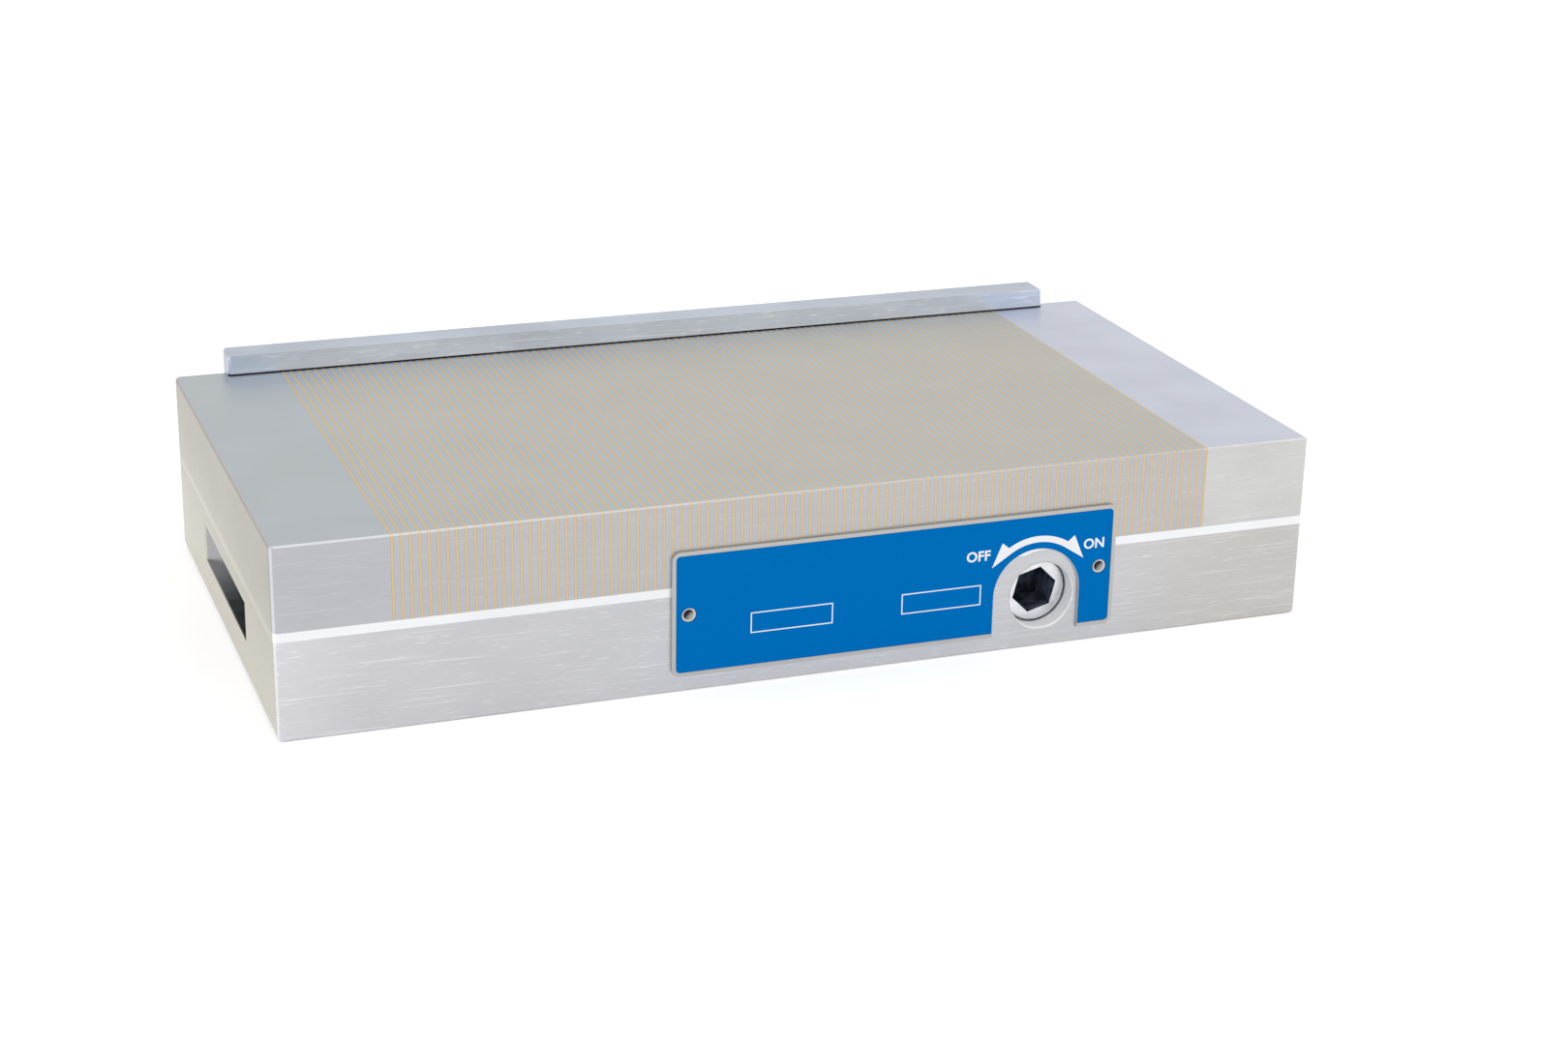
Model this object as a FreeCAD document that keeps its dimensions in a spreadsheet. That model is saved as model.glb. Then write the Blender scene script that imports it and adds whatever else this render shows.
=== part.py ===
"""Fine-pole permanent magnetic chuck, switched by a hex key.

A brazed pole plate of thin steel and brass laminations stands on a milled base. Inside the base, a carriage of
magnets and steel conductor bars slides by half a magnet pitch when the key turns an eccentric shaft by half a
turn, which bridges or opens the flux paths to the pole plate. A stop rail at the back slides up and down.

Frame: +X right, -Y towards the key socket, +Z up. The origin is the centre of the base's underside.
"""

import FreeCAD, Part

import math
import os
import re

import Sketcher

doc = FreeCAD.newDocument("MagneticChuck")
sheet = doc.addObject("Spreadsheet::Sheet", "Dims")
parts = []

DIMENSIONS = {
    # body
    "body_length": 250.0,
    "body_width": 127.0,
    "base_height": 25.4,
    "seam_height": 2.1,
    "strip_depth": 3.0,
    "plate_height": 19.85,
    "corner_radius": 1.5,
    "foot_radius": 2.2,
    "foot_chamfer": 0.4,
    "table_radius": 1.2,
    "table_chamfer": 0.4,
    "overcut": 1.0,
    # cavity of the base
    "cavity_floor": 6.0,
    "end_wall": 22.0,
    "front_wall": 17.0,
    "rear_wall": 12.0,
    "cavity_radius": 6.0,
    # clamp slots in the two ends
    "slot_cutter_radius": 50.0,
    "slot_depth": 8.2,
    "slot_bottom": 10.0,
    "slot_height": 9.4,
    "slot_offset": -1.0,
    # pole plate
    "pole_pitch": 2.04,
    "brass_count": 97,
    "brass_thickness": 0.6,
    "braze_film": 0.02,
    "stack_offset": -0.68,
    # stop rail and its seat
    "rail_length": 224.0,
    "rail_thickness": 8.15,
    "rail_height": 19.0,
    "rail_rise": 5.05,
    "rail_drop": 5.5,
    "rail_seat": 60.0,
    "rail_clearance": 0.05,
    "rail_chamfer": 0.6,
    "seat_clearance": 0.15,
    # rail screws, M4
    "rail_screw_side": 103.5,
    "rail_screw_level": 37.2,
    "rail_screw_radius": 2.0,
    "rail_screw_head_radius": 3.5,
    "rail_screw_head": 4.0,
    "rail_screw_length": 12.0,
    "rail_screw_key": 3.0,
    "rail_slot_width": 4.6,
    "rail_recess_width": 9.6,
    "rail_recess_depth": 5.0,
    "washer_radius": 4.5,
    "washer_thickness": 0.8,
    # plate screws, M6
    "plate_screw_side": 111.0,
    "plate_screw_row": 52.5,
    "plate_screw_radius": 3.0,
    "plate_screw_head_radius": 5.0,
    "plate_screw_head": 6.0,
    "plate_screw_length": 30.0,
    "plate_screw_key": 5.0,
    "plate_screw_hole": 6.6,
    "plate_recess_width": 11.0,
    "plate_recess_depth": 6.5,
    # dowels
    "dowel_side": 116.0,
    "dowel_row": 38.0,
    "dowel_radius": 2.5,
    "dowel_bottom": 12.0,
    "dowel_length": 22.0,
    # eccentric shaft
    "shaft_side": 56.0,
    "shaft_level": 12.75,
    "shaft_radius": 8.0,
    "shaft_bore_radius": 8.05,
    "shaft_mouth_radius": 8.1,
    "mouth_chamfer": 0.4,
    "shaft_recess": 4.2,
    "shaft_length": 12.6,
    "shaft_chamfer": 0.5,
    "key_flats": 10.0,
    "key_depth": 11.0,
    "key_turn": 15.5,
    "pin_radius": 5.0,
    "pin_length": 8.2,
    "pin_throw": 2.04,
    "bush_radius": 10.0,
    "mouth_lip": 5.0,
    "ring_groove": 2.4,
    "ring_section": 0.75,
    "ring_groove_depth": 1.5,
    "stop_groove": 6.0,
    "stop_groove_width": 3.0,
    "stop_groove_depth": 1.4,
    # stop screw
    "stop_screw_radius": 2.0,
    "stop_point_radius": 1.2,
    "stop_screw_recess": 0.5,
    "stop_point_end": 5.4,
    "stop_screw_key": 2.0,
    # magnet carriage
    "carriage_length": 192.0,
    "carriage_front": 46.0,
    "carriage_back": 51.0,
    "carriage_bottom": 7.05,
    "carriage_top": 25.2,
    "tray_floor": 2.0,
    "tray_side": 91.6,
    "tray_front": 36.0,
    "tray_back": 46.0,
    "magnet_pitch": 8.16,
    "bar_count": 23,
    "bar_thickness": 3.08,
    "magnet_thickness": 5.04,
    "fork_gap": 5.55,
    "fork_top": 20.5,
    "fork_back": 38.0,
    "liner_thickness": 1.0,
    "guide_length": 24.0,
    "guide_height": 8.0,
    "guide_thickness": 0.4,
    "guide_side": 78.0,
    # strips under the carriage
    "strip_width": 6.0,
    "strip_thickness": 1.0,
    "strip_length": 196.0,
    "front_strip": -42.0,
    "rear_strip": 46.0,
    # nameplate
    "nameplate_left": -35.75,
    "nameplate_right": 74.25,
    "nameplate_bottom": 3.9,
    "nameplate_top": 34.0,
    "nameplate_thickness": 0.8,
    "nameplate_corner": 2.0,
    "field_border": 0.95,
    "field_depth": 0.12,
    "field_corner": 1.05,
    "notch_side": 54.25,
    "notch_level": 13.9,
    "notch_radius": 10.95,
    "rivet_hole_radius": 1.75,
    "rivet_head_radius": 1.6,
    "rivet_shank_radius": 1.3,
    "rivet_length": 4.0,
    "rivet_dish": 0.5,
    "rivet_inset": 4.0,
    "rivet_level": 18.8,
}


def fill_sheet():
    """Writes each driving dimension into its own cell, under its name."""
    for row, (name, size) in enumerate(DIMENSIONS.items(), start=1):
        sheet.set(f"A{row}", name)
        sheet.set(f"B{row}", str(size))
        sheet.setAlias(f"B{row}", name)
    doc.recompute()


def cells(expression):
    """Puts the sheet's name before each dimension named in an expression."""
    def name_cell(word):
        return "Dims." + word[0] if word[0] in DIMENSIONS else word[0]
    return re.sub(r"[a-z_]+", name_cell, str(expression))


def worth(expression):
    """The number that an expression of named dimensions comes to now."""
    return float(sheet.evalExpression(cells(expression)))


# ---------------------------------------------------------------- sketches and features

def new_body(label):
    """A part body with its node's name, listed for export."""
    body = doc.addObject("PartDesign::Body", label)
    body.Label = label
    parts.append(body)
    return body


def place(body, x=0, y=0, z=0):
    """Binds the place of a body's own origin to expressions."""
    for axis, expression in zip("xyz", (x, y, z)):
        body.setExpression(f"Placement.Base.{axis}", cells(expression))


def origin_item(body, role):
    """One of the body's own origin planes or axes."""
    return next(item for item in body.Origin.OriginFeatures if item.Role == role)


def new_sketch(body, name, plane, offset=0):
    """A sketch on one of the body's origin planes, moved along the plane's normal by an expression."""
    sketch = body.newObject("Sketcher::SketchObject", name)
    sketch.AttachmentSupport = [(origin_item(body, plane), "")]
    sketch.MapMode = "FlatFace"
    sketch.setExpression("AttachmentOffset.Base.z", cells(offset))
    return sketch


def pin_point(sketch, geometry, end, x, y):
    """Binds a point of the sketch to expressions for its two coordinates."""
    for kind, expression in (("DistanceX", x), ("DistanceY", y)):
        at = sketch.addConstraint(Sketcher.Constraint(kind, -1, 1, geometry, end, worth(expression)))
        sketch.setExpression(f"Constraints[{at}]", cells(expression))


def polygon(sketch, corners):
    """A closed outline through corners that are each bound to a pair of expressions."""
    points = [FreeCAD.Vector(worth(x), worth(y), 0) for x, y in corners]
    first = sketch.GeometryCount
    for start, end in zip(points, points[1:] + points[:1]):
        sketch.addGeometry(Part.LineSegment(start, end))
    for index in range(len(points)):
        here = first + index
        after = first + (index + 1) % len(points)
        sketch.addConstraint(Sketcher.Constraint("Coincident", here, 2, after, 1))
    for index, (x, y) in enumerate(corners):
        pin_point(sketch, first + index, 1, x, y)


def rectangle(sketch, left, right, bottom, top):
    """A rectangle whose sides stand at four expressions."""
    polygon(sketch, [(left, bottom), (right, bottom), (right, top), (left, top)])


def circle(sketch, x, y, radius):
    """A circle whose centre and radius are bound to expressions."""
    middle = FreeCAD.Vector(worth(x), worth(y), 0)
    at = sketch.addGeometry(Part.Circle(middle, FreeCAD.Vector(0, 0, 1), worth(radius)))
    pin_point(sketch, at, 3, x, y)
    size = sketch.addConstraint(Sketcher.Constraint("Radius", at, worth(radius)))
    sketch.setExpression(f"Constraints[{size}]", cells(radius))


def hexagon(sketch, x, y, flats, turn="0"):
    """A regular hexagon across its flats, with its first corner turned from the sketch's first axis."""
    reach = f"({flats}) / sqrt(3)"
    corners = []
    for step in range(6):
        angle = f"({turn} + {60 * step})"
        corners.append((f"{x} + {reach} * cos{angle}", f"{y} + {reach} * sin{angle}"))
    polygon(sketch, corners)


def pad(body, sketch, length, reverse=False):
    """Raises a sketch by an expression along its normal."""
    feature = body.newObject("PartDesign::Pad", sketch.Name + "Pad")
    feature.Profile = sketch
    feature.Reversed = reverse
    feature.setExpression("Length", cells(length))
    sketch.Visibility = False
    doc.recompute()
    return feature


def pocket(body, sketch, length, reverse=False):
    """Sinks a sketch by an expression against its normal, and makes sure that it cut something."""
    before = body.Shape.Volume
    feature = body.newObject("PartDesign::Pocket", sketch.Name + "Pocket")
    feature.Profile = sketch
    feature.Reversed = reverse
    feature.setExpression("Length", cells(length))
    sketch.Visibility = False
    doc.recompute()
    if body.Shape.Volume > before - 0.01:
        raise RuntimeError(f"{feature.Name} cut nothing")
    return feature


def hole(body, sketch, width, depth, recess_width=None, recess_depth=None):
    """Drills a sketch's circles upwards, with a counterbore where one is given."""
    doc.recompute()
    before = body.Shape.Volume
    feature = body.newObject("PartDesign::Hole", sketch.Name + "Hole")
    feature.Profile = sketch
    feature.Reversed = True
    feature.setExpression("Diameter", cells(width))
    feature.DepthType = "Dimension"
    feature.setExpression("Depth", cells(depth))
    feature.DrillPoint = "Flat"
    if recess_width:
        feature.HoleCutType = "Counterbore"
        feature.HoleCutCustomValues = True
        feature.setExpression("HoleCutDiameter", cells(recess_width))
        feature.setExpression("HoleCutDepth", cells(recess_depth))
    sketch.Visibility = False
    doc.recompute()
    if body.Shape.Volume > before - 0.01:
        raise RuntimeError(f"{feature.Name} cut nothing")
    return feature


def revolve(body, sketch, kind="PartDesign::Revolution", angle=360):
    """Turns a sketch about its own vertical axis."""
    feature = body.newObject(kind, sketch.Name + "Turn")
    feature.Profile = sketch
    feature.ReferenceAxis = (sketch, ["V_Axis"])
    feature.Angle = angle
    sketch.Visibility = False
    doc.recompute()
    return feature


def edges_where(body, wanted):
    """Names of the body's edges whose middle point and direction pass a test."""
    names = []
    for number, edge in enumerate(body.Shape.Edges, start=1):
        if len(edge.Vertexes) != 2:
            continue
        run = edge.Vertexes[1].Point - edge.Vertexes[0].Point
        if run.Length > 1e-6 and wanted(edge.CenterOfMass, run.normalize()):
            names.append(f"Edge{number}")
    if not names:
        raise RuntimeError(f"no edge found on {body.Label}")
    return names


def soften(body, kind, size, wanted):
    """A fillet or chamfer of the given size on the edges that pass a test."""
    tip = body.Tip
    feature = body.newObject("PartDesign::" + kind, body.Label + kind + str(len(body.Group)))
    feature.Base = (tip, edges_where(body, wanted))
    field = "Radius" if kind == "Fillet" else "Size"
    feature.setExpression(field, cells(size))
    doc.recompute()
    return feature


def round_edge(body, radius, row):
    """Name of the body's round edge of a given radius that stands at a given place along Y."""
    for number, edge in enumerate(body.Shape.Edges, start=1):
        curve = edge.Curve
        if curve.TypeId == "Part::GeomCircle" and near(curve.Radius, radius) and near(curve.Center.y, row):
            return f"Edge{number}"
    raise RuntimeError(f"no round edge found on {body.Label}")


def mirror(body, features):
    """Repeats features on the other side of the body's YZ plane."""
    feature = body.newObject("PartDesign::Mirrored", body.Label + "Mirrored")
    feature.Originals = features
    feature.MirrorPlane = (origin_item(body, "YZ_Plane"), [""])
    body.Tip = feature
    doc.recompute()
    return feature


def repeat(body, features, axis, length, count):
    """Repeats features along one of the body's axes, over a whole length."""
    feature = body.newObject("PartDesign::LinearPattern", body.Label + "Pattern")
    feature.Originals = features
    feature.Direction = (origin_item(body, axis), [""])
    feature.setExpression("Length", cells(length))
    feature.setExpression("Occurrences", cells(count))
    body.Tip = feature
    doc.recompute()
    return feature


def near(value, target):
    """True where two numbers agree to a hundredth of a millimetre."""
    return abs(value - target) < 0.01


def outer_upright(point, run):
    """The four upright edges at the outer corners of the body."""
    half_length = worth("body_length / 2")
    half_width = worth("body_width / 2")
    return abs(run.z) > 0.99 and near(abs(point.x), half_length) and near(abs(point.y), half_width)


def round_ends(body, name, level, radius, inward, sides):
    """Rounds the edges that run along Y at the body's ends, by a pocket of the corners outside an arc. The body
    lies above the level where inward is 1, and below it where inward is -1."""
    sketch = new_sketch(body, name, "XZ_Plane", FRONT + " + overcut")
    for side in sides:
        flat = (f"{side} * (body_length / 2 - {radius})", level)
        beyond = (f"{side} * (body_length / 2 - {radius})", f"{level} - {inward} * overcut")
        far = (f"{side} * (body_length / 2 + overcut)", f"{level} - {inward} * overcut")
        upright = (f"{side} * (body_length / 2 + overcut)", f"{level} + {inward} * {radius}")
        end = (f"{side} * body_length / 2", f"{level} + {inward} * {radius}")
        points = [FreeCAD.Vector(worth(x), worth(y), 0) for x, y in (flat, beyond, far, upright, end)]
        middle = FreeCAD.Vector(points[0].x, points[4].y, 0)
        quarter = math.atan2(points[0].y - middle.y, 0) if side == inward else math.atan2(0, side)
        ring = Part.Circle(middle, FreeCAD.Vector(0, 0, 1), worth(radius))
        arc = sketch.addGeometry(Part.ArcOfCircle(ring, quarter, quarter + math.pi / 2))
        for start, finish in zip(points, points[1:]):
            sketch.addGeometry(Part.LineSegment(start, finish))
        at_flat = 1 if side == inward else 2
        joins = [(arc + 1, 1, arc, at_flat), (arc + 2, 1, arc + 1, 2), (arc + 3, 1, arc + 2, 2),
                 (arc + 4, 1, arc + 3, 2), (arc + 4, 2, arc, 3 - at_flat)]
        for join in joins:
            sketch.addConstraint(Sketcher.Constraint("Coincident", *join))
        sketch.addConstraint(Sketcher.Constraint("Vertical", arc + 1))
        sketch.addConstraint(Sketcher.Constraint("Horizontal", arc + 4))
        for line, corner in ((arc + 1, beyond), (arc + 2, far), (arc + 3, upright)):
            pin_point(sketch, line, 2, *corner)
        pin_point(sketch, arc, 3, flat[0], end[1])
        size = sketch.addConstraint(Sketcher.Constraint("Radius", arc, worth(radius)))
        sketch.setExpression(f"Constraints[{size}]", cells(radius))
    return pocket(body, sketch, "body_width + 2 * overcut")


def break_long_edges(body, name, level, size, inward):
    """Breaks the body's front and rear edges at a level by a pocket of two triangles along X."""
    sketch = new_sketch(body, name, "YZ_Plane", "- body_length / 2 - overcut")
    for side in (-1, 1):
        outer = f"{side} * (body_width / 2 + overcut)"
        polygon(sketch, [(outer, f"{level} + {inward} * ({size} + overcut)"),
                         (f"{side} * (body_width / 2 - {size} - overcut)", f"{level} - {inward} * overcut"),
                         (outer, f"{level} - {inward} * overcut")])
    return pocket(body, sketch, "body_length + 2 * overcut", reverse=True)


# ---------------------------------------------------------------- places used by several pieces

TABLE = "base_height + plate_height"
FRONT = "(body_width / 2)"
STACK_LENGTH = "((brass_count - 1) * pole_pitch)"
STACK_LEFT = "(stack_offset - (brass_count - 1) * pole_pitch / 2)"
STACK_RIGHT = "(stack_offset + (brass_count - 1) * pole_pitch / 2)"
HALF_BRASS = "brass_thickness / 2 + braze_film"
STOP_ROW = "(shaft_recess + stop_groove - body_width / 2)"


def plate_screw_points():
    """The four places of the screws that hold the pole plate down."""
    return [(side, row) for side in ("- plate_screw_side", "plate_screw_side")
            for row in ("- plate_screw_row", "plate_screw_row")]


def dowel_points():
    """The two dowels stand on a diagonal, so that the plate goes on one way round."""
    return [("- dowel_side", "- dowel_row"), ("dowel_side", "dowel_row")]


# ---------------------------------------------------------------- body of the chuck

def make_base():
    """Milled steel base: cavity for the carriage, a clamp slot in each end, the shaft's bore and screw holes."""
    body = new_body("base_body")
    outline = new_sketch(body, "BaseOutline", "XY_Plane")
    rectangle(outline, "- body_length / 2", "body_length / 2", "- body_width / 2", "body_width / 2")
    pad(body, outline, "base_height")
    soften(body, "Fillet", "corner_radius", outer_upright)
    round_ends(body, "FootRounding", "0", "foot_radius", 1, (-1, 1))
    break_long_edges(body, "FootEdges", "0", "foot_chamfer", 1)

    rebate = new_sketch(body, "StripRebate", "XY_Plane", "base_height")
    rectangle(rebate, "- body_length", "body_length", "- body_width", "body_width")
    strip_inside(rebate, "0.02")
    pocket(body, rebate, "seam_height")

    cavity = new_sketch(body, "Cavity", "XY_Plane", "base_height")
    rectangle(cavity, "- body_length / 2 + end_wall", "body_length / 2 - end_wall",
              "- body_width / 2 + front_wall", "body_width / 2 - rear_wall")
    pocket(body, cavity, "base_height - cavity_floor")
    inside = worth("body_length / 2 - end_wall")
    soften(body, "Fillet", "cavity_radius",
           lambda point, run: abs(run.z) > 0.99 and near(abs(point.x), inside))

    slot = new_sketch(body, "ClampSlot", "XY_Plane", "slot_bottom")
    circle(slot, "body_length / 2 - slot_depth + slot_cutter_radius", "slot_offset", "slot_cutter_radius")
    cut = pocket(body, slot, "slot_height", reverse=True)
    mirror(body, [cut])

    mouth = new_sketch(body, "ShaftMouth", "XZ_Plane", FRONT)
    circle(mouth, "shaft_side", "shaft_level", "shaft_mouth_radius")
    pocket(body, mouth, "front_wall + 1")
    tip = body.Tip
    lead = body.newObject("PartDesign::Chamfer", "MouthChamfer")
    lead.Base = (tip, [round_edge(body, worth("shaft_mouth_radius"), worth("- body_width / 2"))])
    lead.setExpression("Size", cells("mouth_chamfer"))
    doc.recompute()
    seat = new_sketch(body, "BushSeat", "XZ_Plane", FRONT + " - front_wall")
    circle(seat, "shaft_side", "shaft_level", "bush_radius")
    pocket(body, seat, "front_wall - mouth_lip", reverse=True)

    screws = new_sketch(body, "PlateScrewHoles", "XY_Plane")
    for x, y in plate_screw_points():
        circle(screws, x, y, "plate_screw_radius")
    hole(body, screws, "plate_screw_hole", "base_height + 1", "plate_recess_width", "plate_recess_depth")

    dowels = new_sketch(body, "DowelHoles", "XY_Plane", "base_height")
    for x, y in dowel_points():
        circle(dowels, x, y, "dowel_radius")
    pocket(body, dowels, "base_height - dowel_bottom")

    stop = new_sketch(body, "StopScrewHole", "XY_Plane")
    circle(stop, "shaft_side", STOP_ROW, "stop_screw_radius")
    pocket(body, stop, "shaft_level - bush_radius + 1", reverse=True)

    rivets = new_sketch(body, "RivetHoles", "XZ_Plane", FRONT)
    for x in ("nameplate_left + rivet_inset", "nameplate_right - rivet_inset"):
        circle(rivets, x, "rivet_level", "rivet_shank_radius")
    pocket(body, rivets, "rivet_length + 0.5")


def strip_inside(sketch, margin):
    """A rectangle that stands inside the body's outline by the strip's width and a margin."""
    inset = f"(strip_depth + {margin})"
    rectangle(sketch, f"- body_length / 2 + {inset}", f"body_length / 2 - {inset}",
              f"- body_width / 2 + {inset}", f"body_width / 2 - {inset}")


def make_seam_strip():
    """White-metal strip laid in a rebate round the base's top edge, which seals the seam to the pole plate."""
    body = new_body("seam_strip")
    outline = new_sketch(body, "StripOutline", "XY_Plane", "base_height - seam_height")
    rectangle(outline, "- body_length / 2", "body_length / 2", "- body_width / 2", "body_width / 2")
    pad(body, outline, "seam_height")
    soften(body, "Fillet", "corner_radius", outer_upright)
    window = new_sketch(body, "StripWindow", "XY_Plane", "base_height")
    strip_inside(window, "0")
    pocket(body, window, "seam_height")


def make_end_block(label, side, inner):
    """Solid steel end of the pole plate, notched at the back for the stop rail."""
    body = new_body(label)
    sign = "" if side > 0 else "- "
    outline = new_sketch(body, label + "_outline", "XY_Plane", "base_height")
    ends = [inner, sign + "body_length / 2"]
    if side < 0:
        ends.reverse()
    rectangle(outline, ends[0], ends[1], "- body_width / 2", "body_width / 2")
    pad(body, outline, "plate_height")
    half_length = worth("body_length / 2")
    soften(body, "Fillet", "corner_radius", lambda point, run: abs(run.z) > 0.99
           and near(abs(point.x), half_length))
    round_ends(body, label + "_rounding", TABLE, "table_radius", -1, (side,))
    break_long_edges(body, label + "_edges", TABLE, "table_chamfer", -1)

    notch = new_sketch(body, label + "_notch", "XY_Plane", TABLE)
    reach = [inner, sign + "(rail_length / 2 + seat_clearance)"]
    if side < 0:
        reach.reverse()
    rectangle(notch, reach[0], reach[1], "rail_seat", "body_width / 2 + 1")
    pocket(body, notch, "plate_height")

    bolts = new_sketch(body, label + "_threads", "XY_Plane", "base_height")
    for row in ("- plate_screw_row", "plate_screw_row"):
        circle(bolts, sign + "plate_screw_side", row, "plate_screw_radius")
    threads = "plate_recess_depth + plate_screw_length + 2 - base_height"
    pocket(body, bolts, threads, reverse=True)
    dowel = new_sketch(body, label + "_dowel", "XY_Plane", "base_height")
    circle(dowel, sign + "dowel_side", sign + "dowel_row", "dowel_radius")
    pocket(body, dowel, "dowel_bottom + dowel_length + 1 - base_height", reverse=True)
    rail = new_sketch(body, label + "_rail_thread", "XZ_Plane", "- rail_seat")
    circle(rail, sign + "rail_screw_side", "rail_screw_level", "rail_screw_radius")
    pocket(body, rail, "rail_screw_length - 2", reverse=True)


def lamination_outline(sketch):
    """Side view of one lamination: a block with its front top edge broken."""
    polygon(sketch, [("- body_width / 2", "base_height"), ("rail_seat", "base_height"), ("rail_seat", TABLE),
                     ("- body_width / 2 + table_chamfer", TABLE),
                     ("- body_width / 2", TABLE + " - table_chamfer")])


def make_laminations(label, start, thickness, count):
    """A row of thin upright strips that run from the front face to the stop rail."""
    body = new_body(label)
    outline = new_sketch(body, label + "_outline", "YZ_Plane", start)
    lamination_outline(outline)
    strip = pad(body, outline, thickness)
    repeat(body, [strip], "X_Axis", f"({count} - 1) * pole_pitch", count)


def make_pole_stack():
    """Brass laminations at the pole pitch, with steel laminations between them."""
    make_laminations("brass_spacers", STACK_LEFT + " - brass_thickness / 2", "brass_thickness", "brass_count")
    make_laminations("steel_laminations", STACK_LEFT + " + " + HALF_BRASS,
                     "pole_pitch - brass_thickness - 2 * braze_film", "(brass_count - 1)")


def make_plate_screws():
    """Four socket screws that hold the pole plate down on the base, from underneath."""
    body = new_body("plate_screws")
    heads = new_sketch(body, "ScrewHeads", "XY_Plane", "plate_recess_depth - plate_screw_head")
    for x, y in plate_screw_points():
        circle(heads, x, y, "plate_screw_head_radius")
    pad(body, heads, "plate_screw_head")
    shanks = new_sketch(body, "ScrewShanks", "XY_Plane", "plate_recess_depth")
    for x, y in plate_screw_points():
        circle(shanks, x, y, "plate_screw_radius")
    pad(body, shanks, "plate_screw_length")
    keys = new_sketch(body, "ScrewKeys", "XY_Plane", "plate_recess_depth - plate_screw_head")
    for x, y in plate_screw_points():
        hexagon(keys, x, y, "plate_screw_key")
    pocket(body, keys, "plate_screw_head / 2", reverse=True)


def make_dowels():
    """Two dowel pins that locate the pole plate on the base."""
    body = new_body("dowel_pins")
    pins = new_sketch(body, "DowelEnds", "XY_Plane", "dowel_bottom")
    for x, y in dowel_points():
        circle(pins, x, y, "dowel_radius")
    pad(body, pins, "dowel_length")


# ---------------------------------------------------------------- stop rail

RAIL_TOP = "base_height + plate_height + rail_rise"


def make_back_rail():
    """Stop rail in the rear notch, with a counterbored upright slot near each end."""
    body = new_body("back_rail")
    place(body, y="rail_seat + rail_clearance", z=RAIL_TOP + " - rail_height")
    outline = new_sketch(body, "RailOutline", "YZ_Plane", "- rail_length / 2")
    rectangle(outline, "0", "rail_thickness", "0", "rail_height")
    pad(body, outline, "rail_length")
    half = worth("rail_length / 2")
    soften(body, "Chamfer", "rail_chamfer", lambda point, run: near(abs(point.x), half))

    lowest = f"(rail_screw_level - ({RAIL_TOP} - rail_height))"
    through = upright_slot(body, "RailSlot", lowest, "rail_slot_width", "rail_thickness")
    recess = upright_slot(body, "RailRecess", lowest, "rail_recess_width", "rail_recess_depth")
    mirror(body, [through, recess])


def upright_slot(body, name, lowest, width, depth):
    """A round-ended slot cut into the rail's rear face, as long as the rail's drop."""
    sketch = new_sketch(body, name, "XZ_Plane", "- rail_thickness")
    x = "rail_screw_side"
    radius = f"({width}) / 2"
    highest = f"{lowest} + rail_drop"
    low = FreeCAD.Vector(worth(x), worth(lowest), 0)
    high = FreeCAD.Vector(worth(x), worth(highest), 0)
    size = worth(radius)
    side = FreeCAD.Vector(size, 0, 0)
    normal = FreeCAD.Vector(0, 0, 1)
    sketch.addGeometry(Part.ArcOfCircle(Part.Circle(high, normal, size), 0, math.pi))
    sketch.addGeometry(Part.LineSegment(high - side, low - side))
    sketch.addGeometry(Part.ArcOfCircle(Part.Circle(low, normal, size), math.pi, 2 * math.pi))
    sketch.addGeometry(Part.LineSegment(low + side, high + side))
    sketch.addConstraint(Sketcher.Constraint("Tangent", 0, 2, 1, 1))
    sketch.addConstraint(Sketcher.Constraint("Tangent", 1, 2, 2, 1))
    sketch.addConstraint(Sketcher.Constraint("Tangent", 2, 2, 3, 1))
    sketch.addConstraint(Sketcher.Constraint("Tangent", 3, 2, 0, 1))
    pin_point(sketch, 0, 3, x, highest)
    pin_point(sketch, 2, 3, x, lowest)
    at = sketch.addConstraint(Sketcher.Constraint("Radius", 0, size))
    sketch.setExpression(f"Constraints[{at}]", cells(radius))
    sketch.addConstraint(Sketcher.Constraint("Equal", 0, 2))
    return pocket(body, sketch, depth, reverse=True)


HEAD_FACE = "(rail_seat + rail_clearance + rail_thickness - rail_recess_depth + 0.05 + washer_thickness)"


def make_rail_screws():
    """Two socket screws that clamp the stop rail to the end blocks."""
    body = new_body("rail_screws")
    points = [(side, "rail_screw_level") for side in ("- rail_screw_side", "rail_screw_side")]
    heads = new_sketch(body, "RailScrewHeads", "XZ_Plane", "- " + HEAD_FACE)
    for x, z in points:
        circle(heads, x, z, "rail_screw_head_radius")
    pad(body, heads, "rail_screw_head", reverse=True)
    shanks = new_sketch(body, "RailScrewShanks", "XZ_Plane", "- " + HEAD_FACE)
    for x, z in points:
        circle(shanks, x, z, "rail_screw_radius")
    pad(body, shanks, "rail_screw_length")
    keys = new_sketch(body, "RailScrewKeys", "XZ_Plane", "- " + HEAD_FACE + " - rail_screw_head")
    for x, z in points:
        hexagon(keys, x, z, "rail_screw_key")
    pocket(body, keys, "rail_screw_head / 2", reverse=True)


def make_rail_washers():
    """Flat washers under the rail screws' heads."""
    body = new_body("rail_washers")
    rings = new_sketch(body, "WasherRings", "XZ_Plane", "- " + HEAD_FACE)
    for x in ("- rail_screw_side", "rail_screw_side"):
        circle(rings, x, "rail_screw_level", "washer_radius")
        circle(rings, x, "rail_screw_level", "rail_screw_radius + 0.15")
    pad(body, rings, "washer_thickness")


# ---------------------------------------------------------------- eccentric shaft

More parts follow.
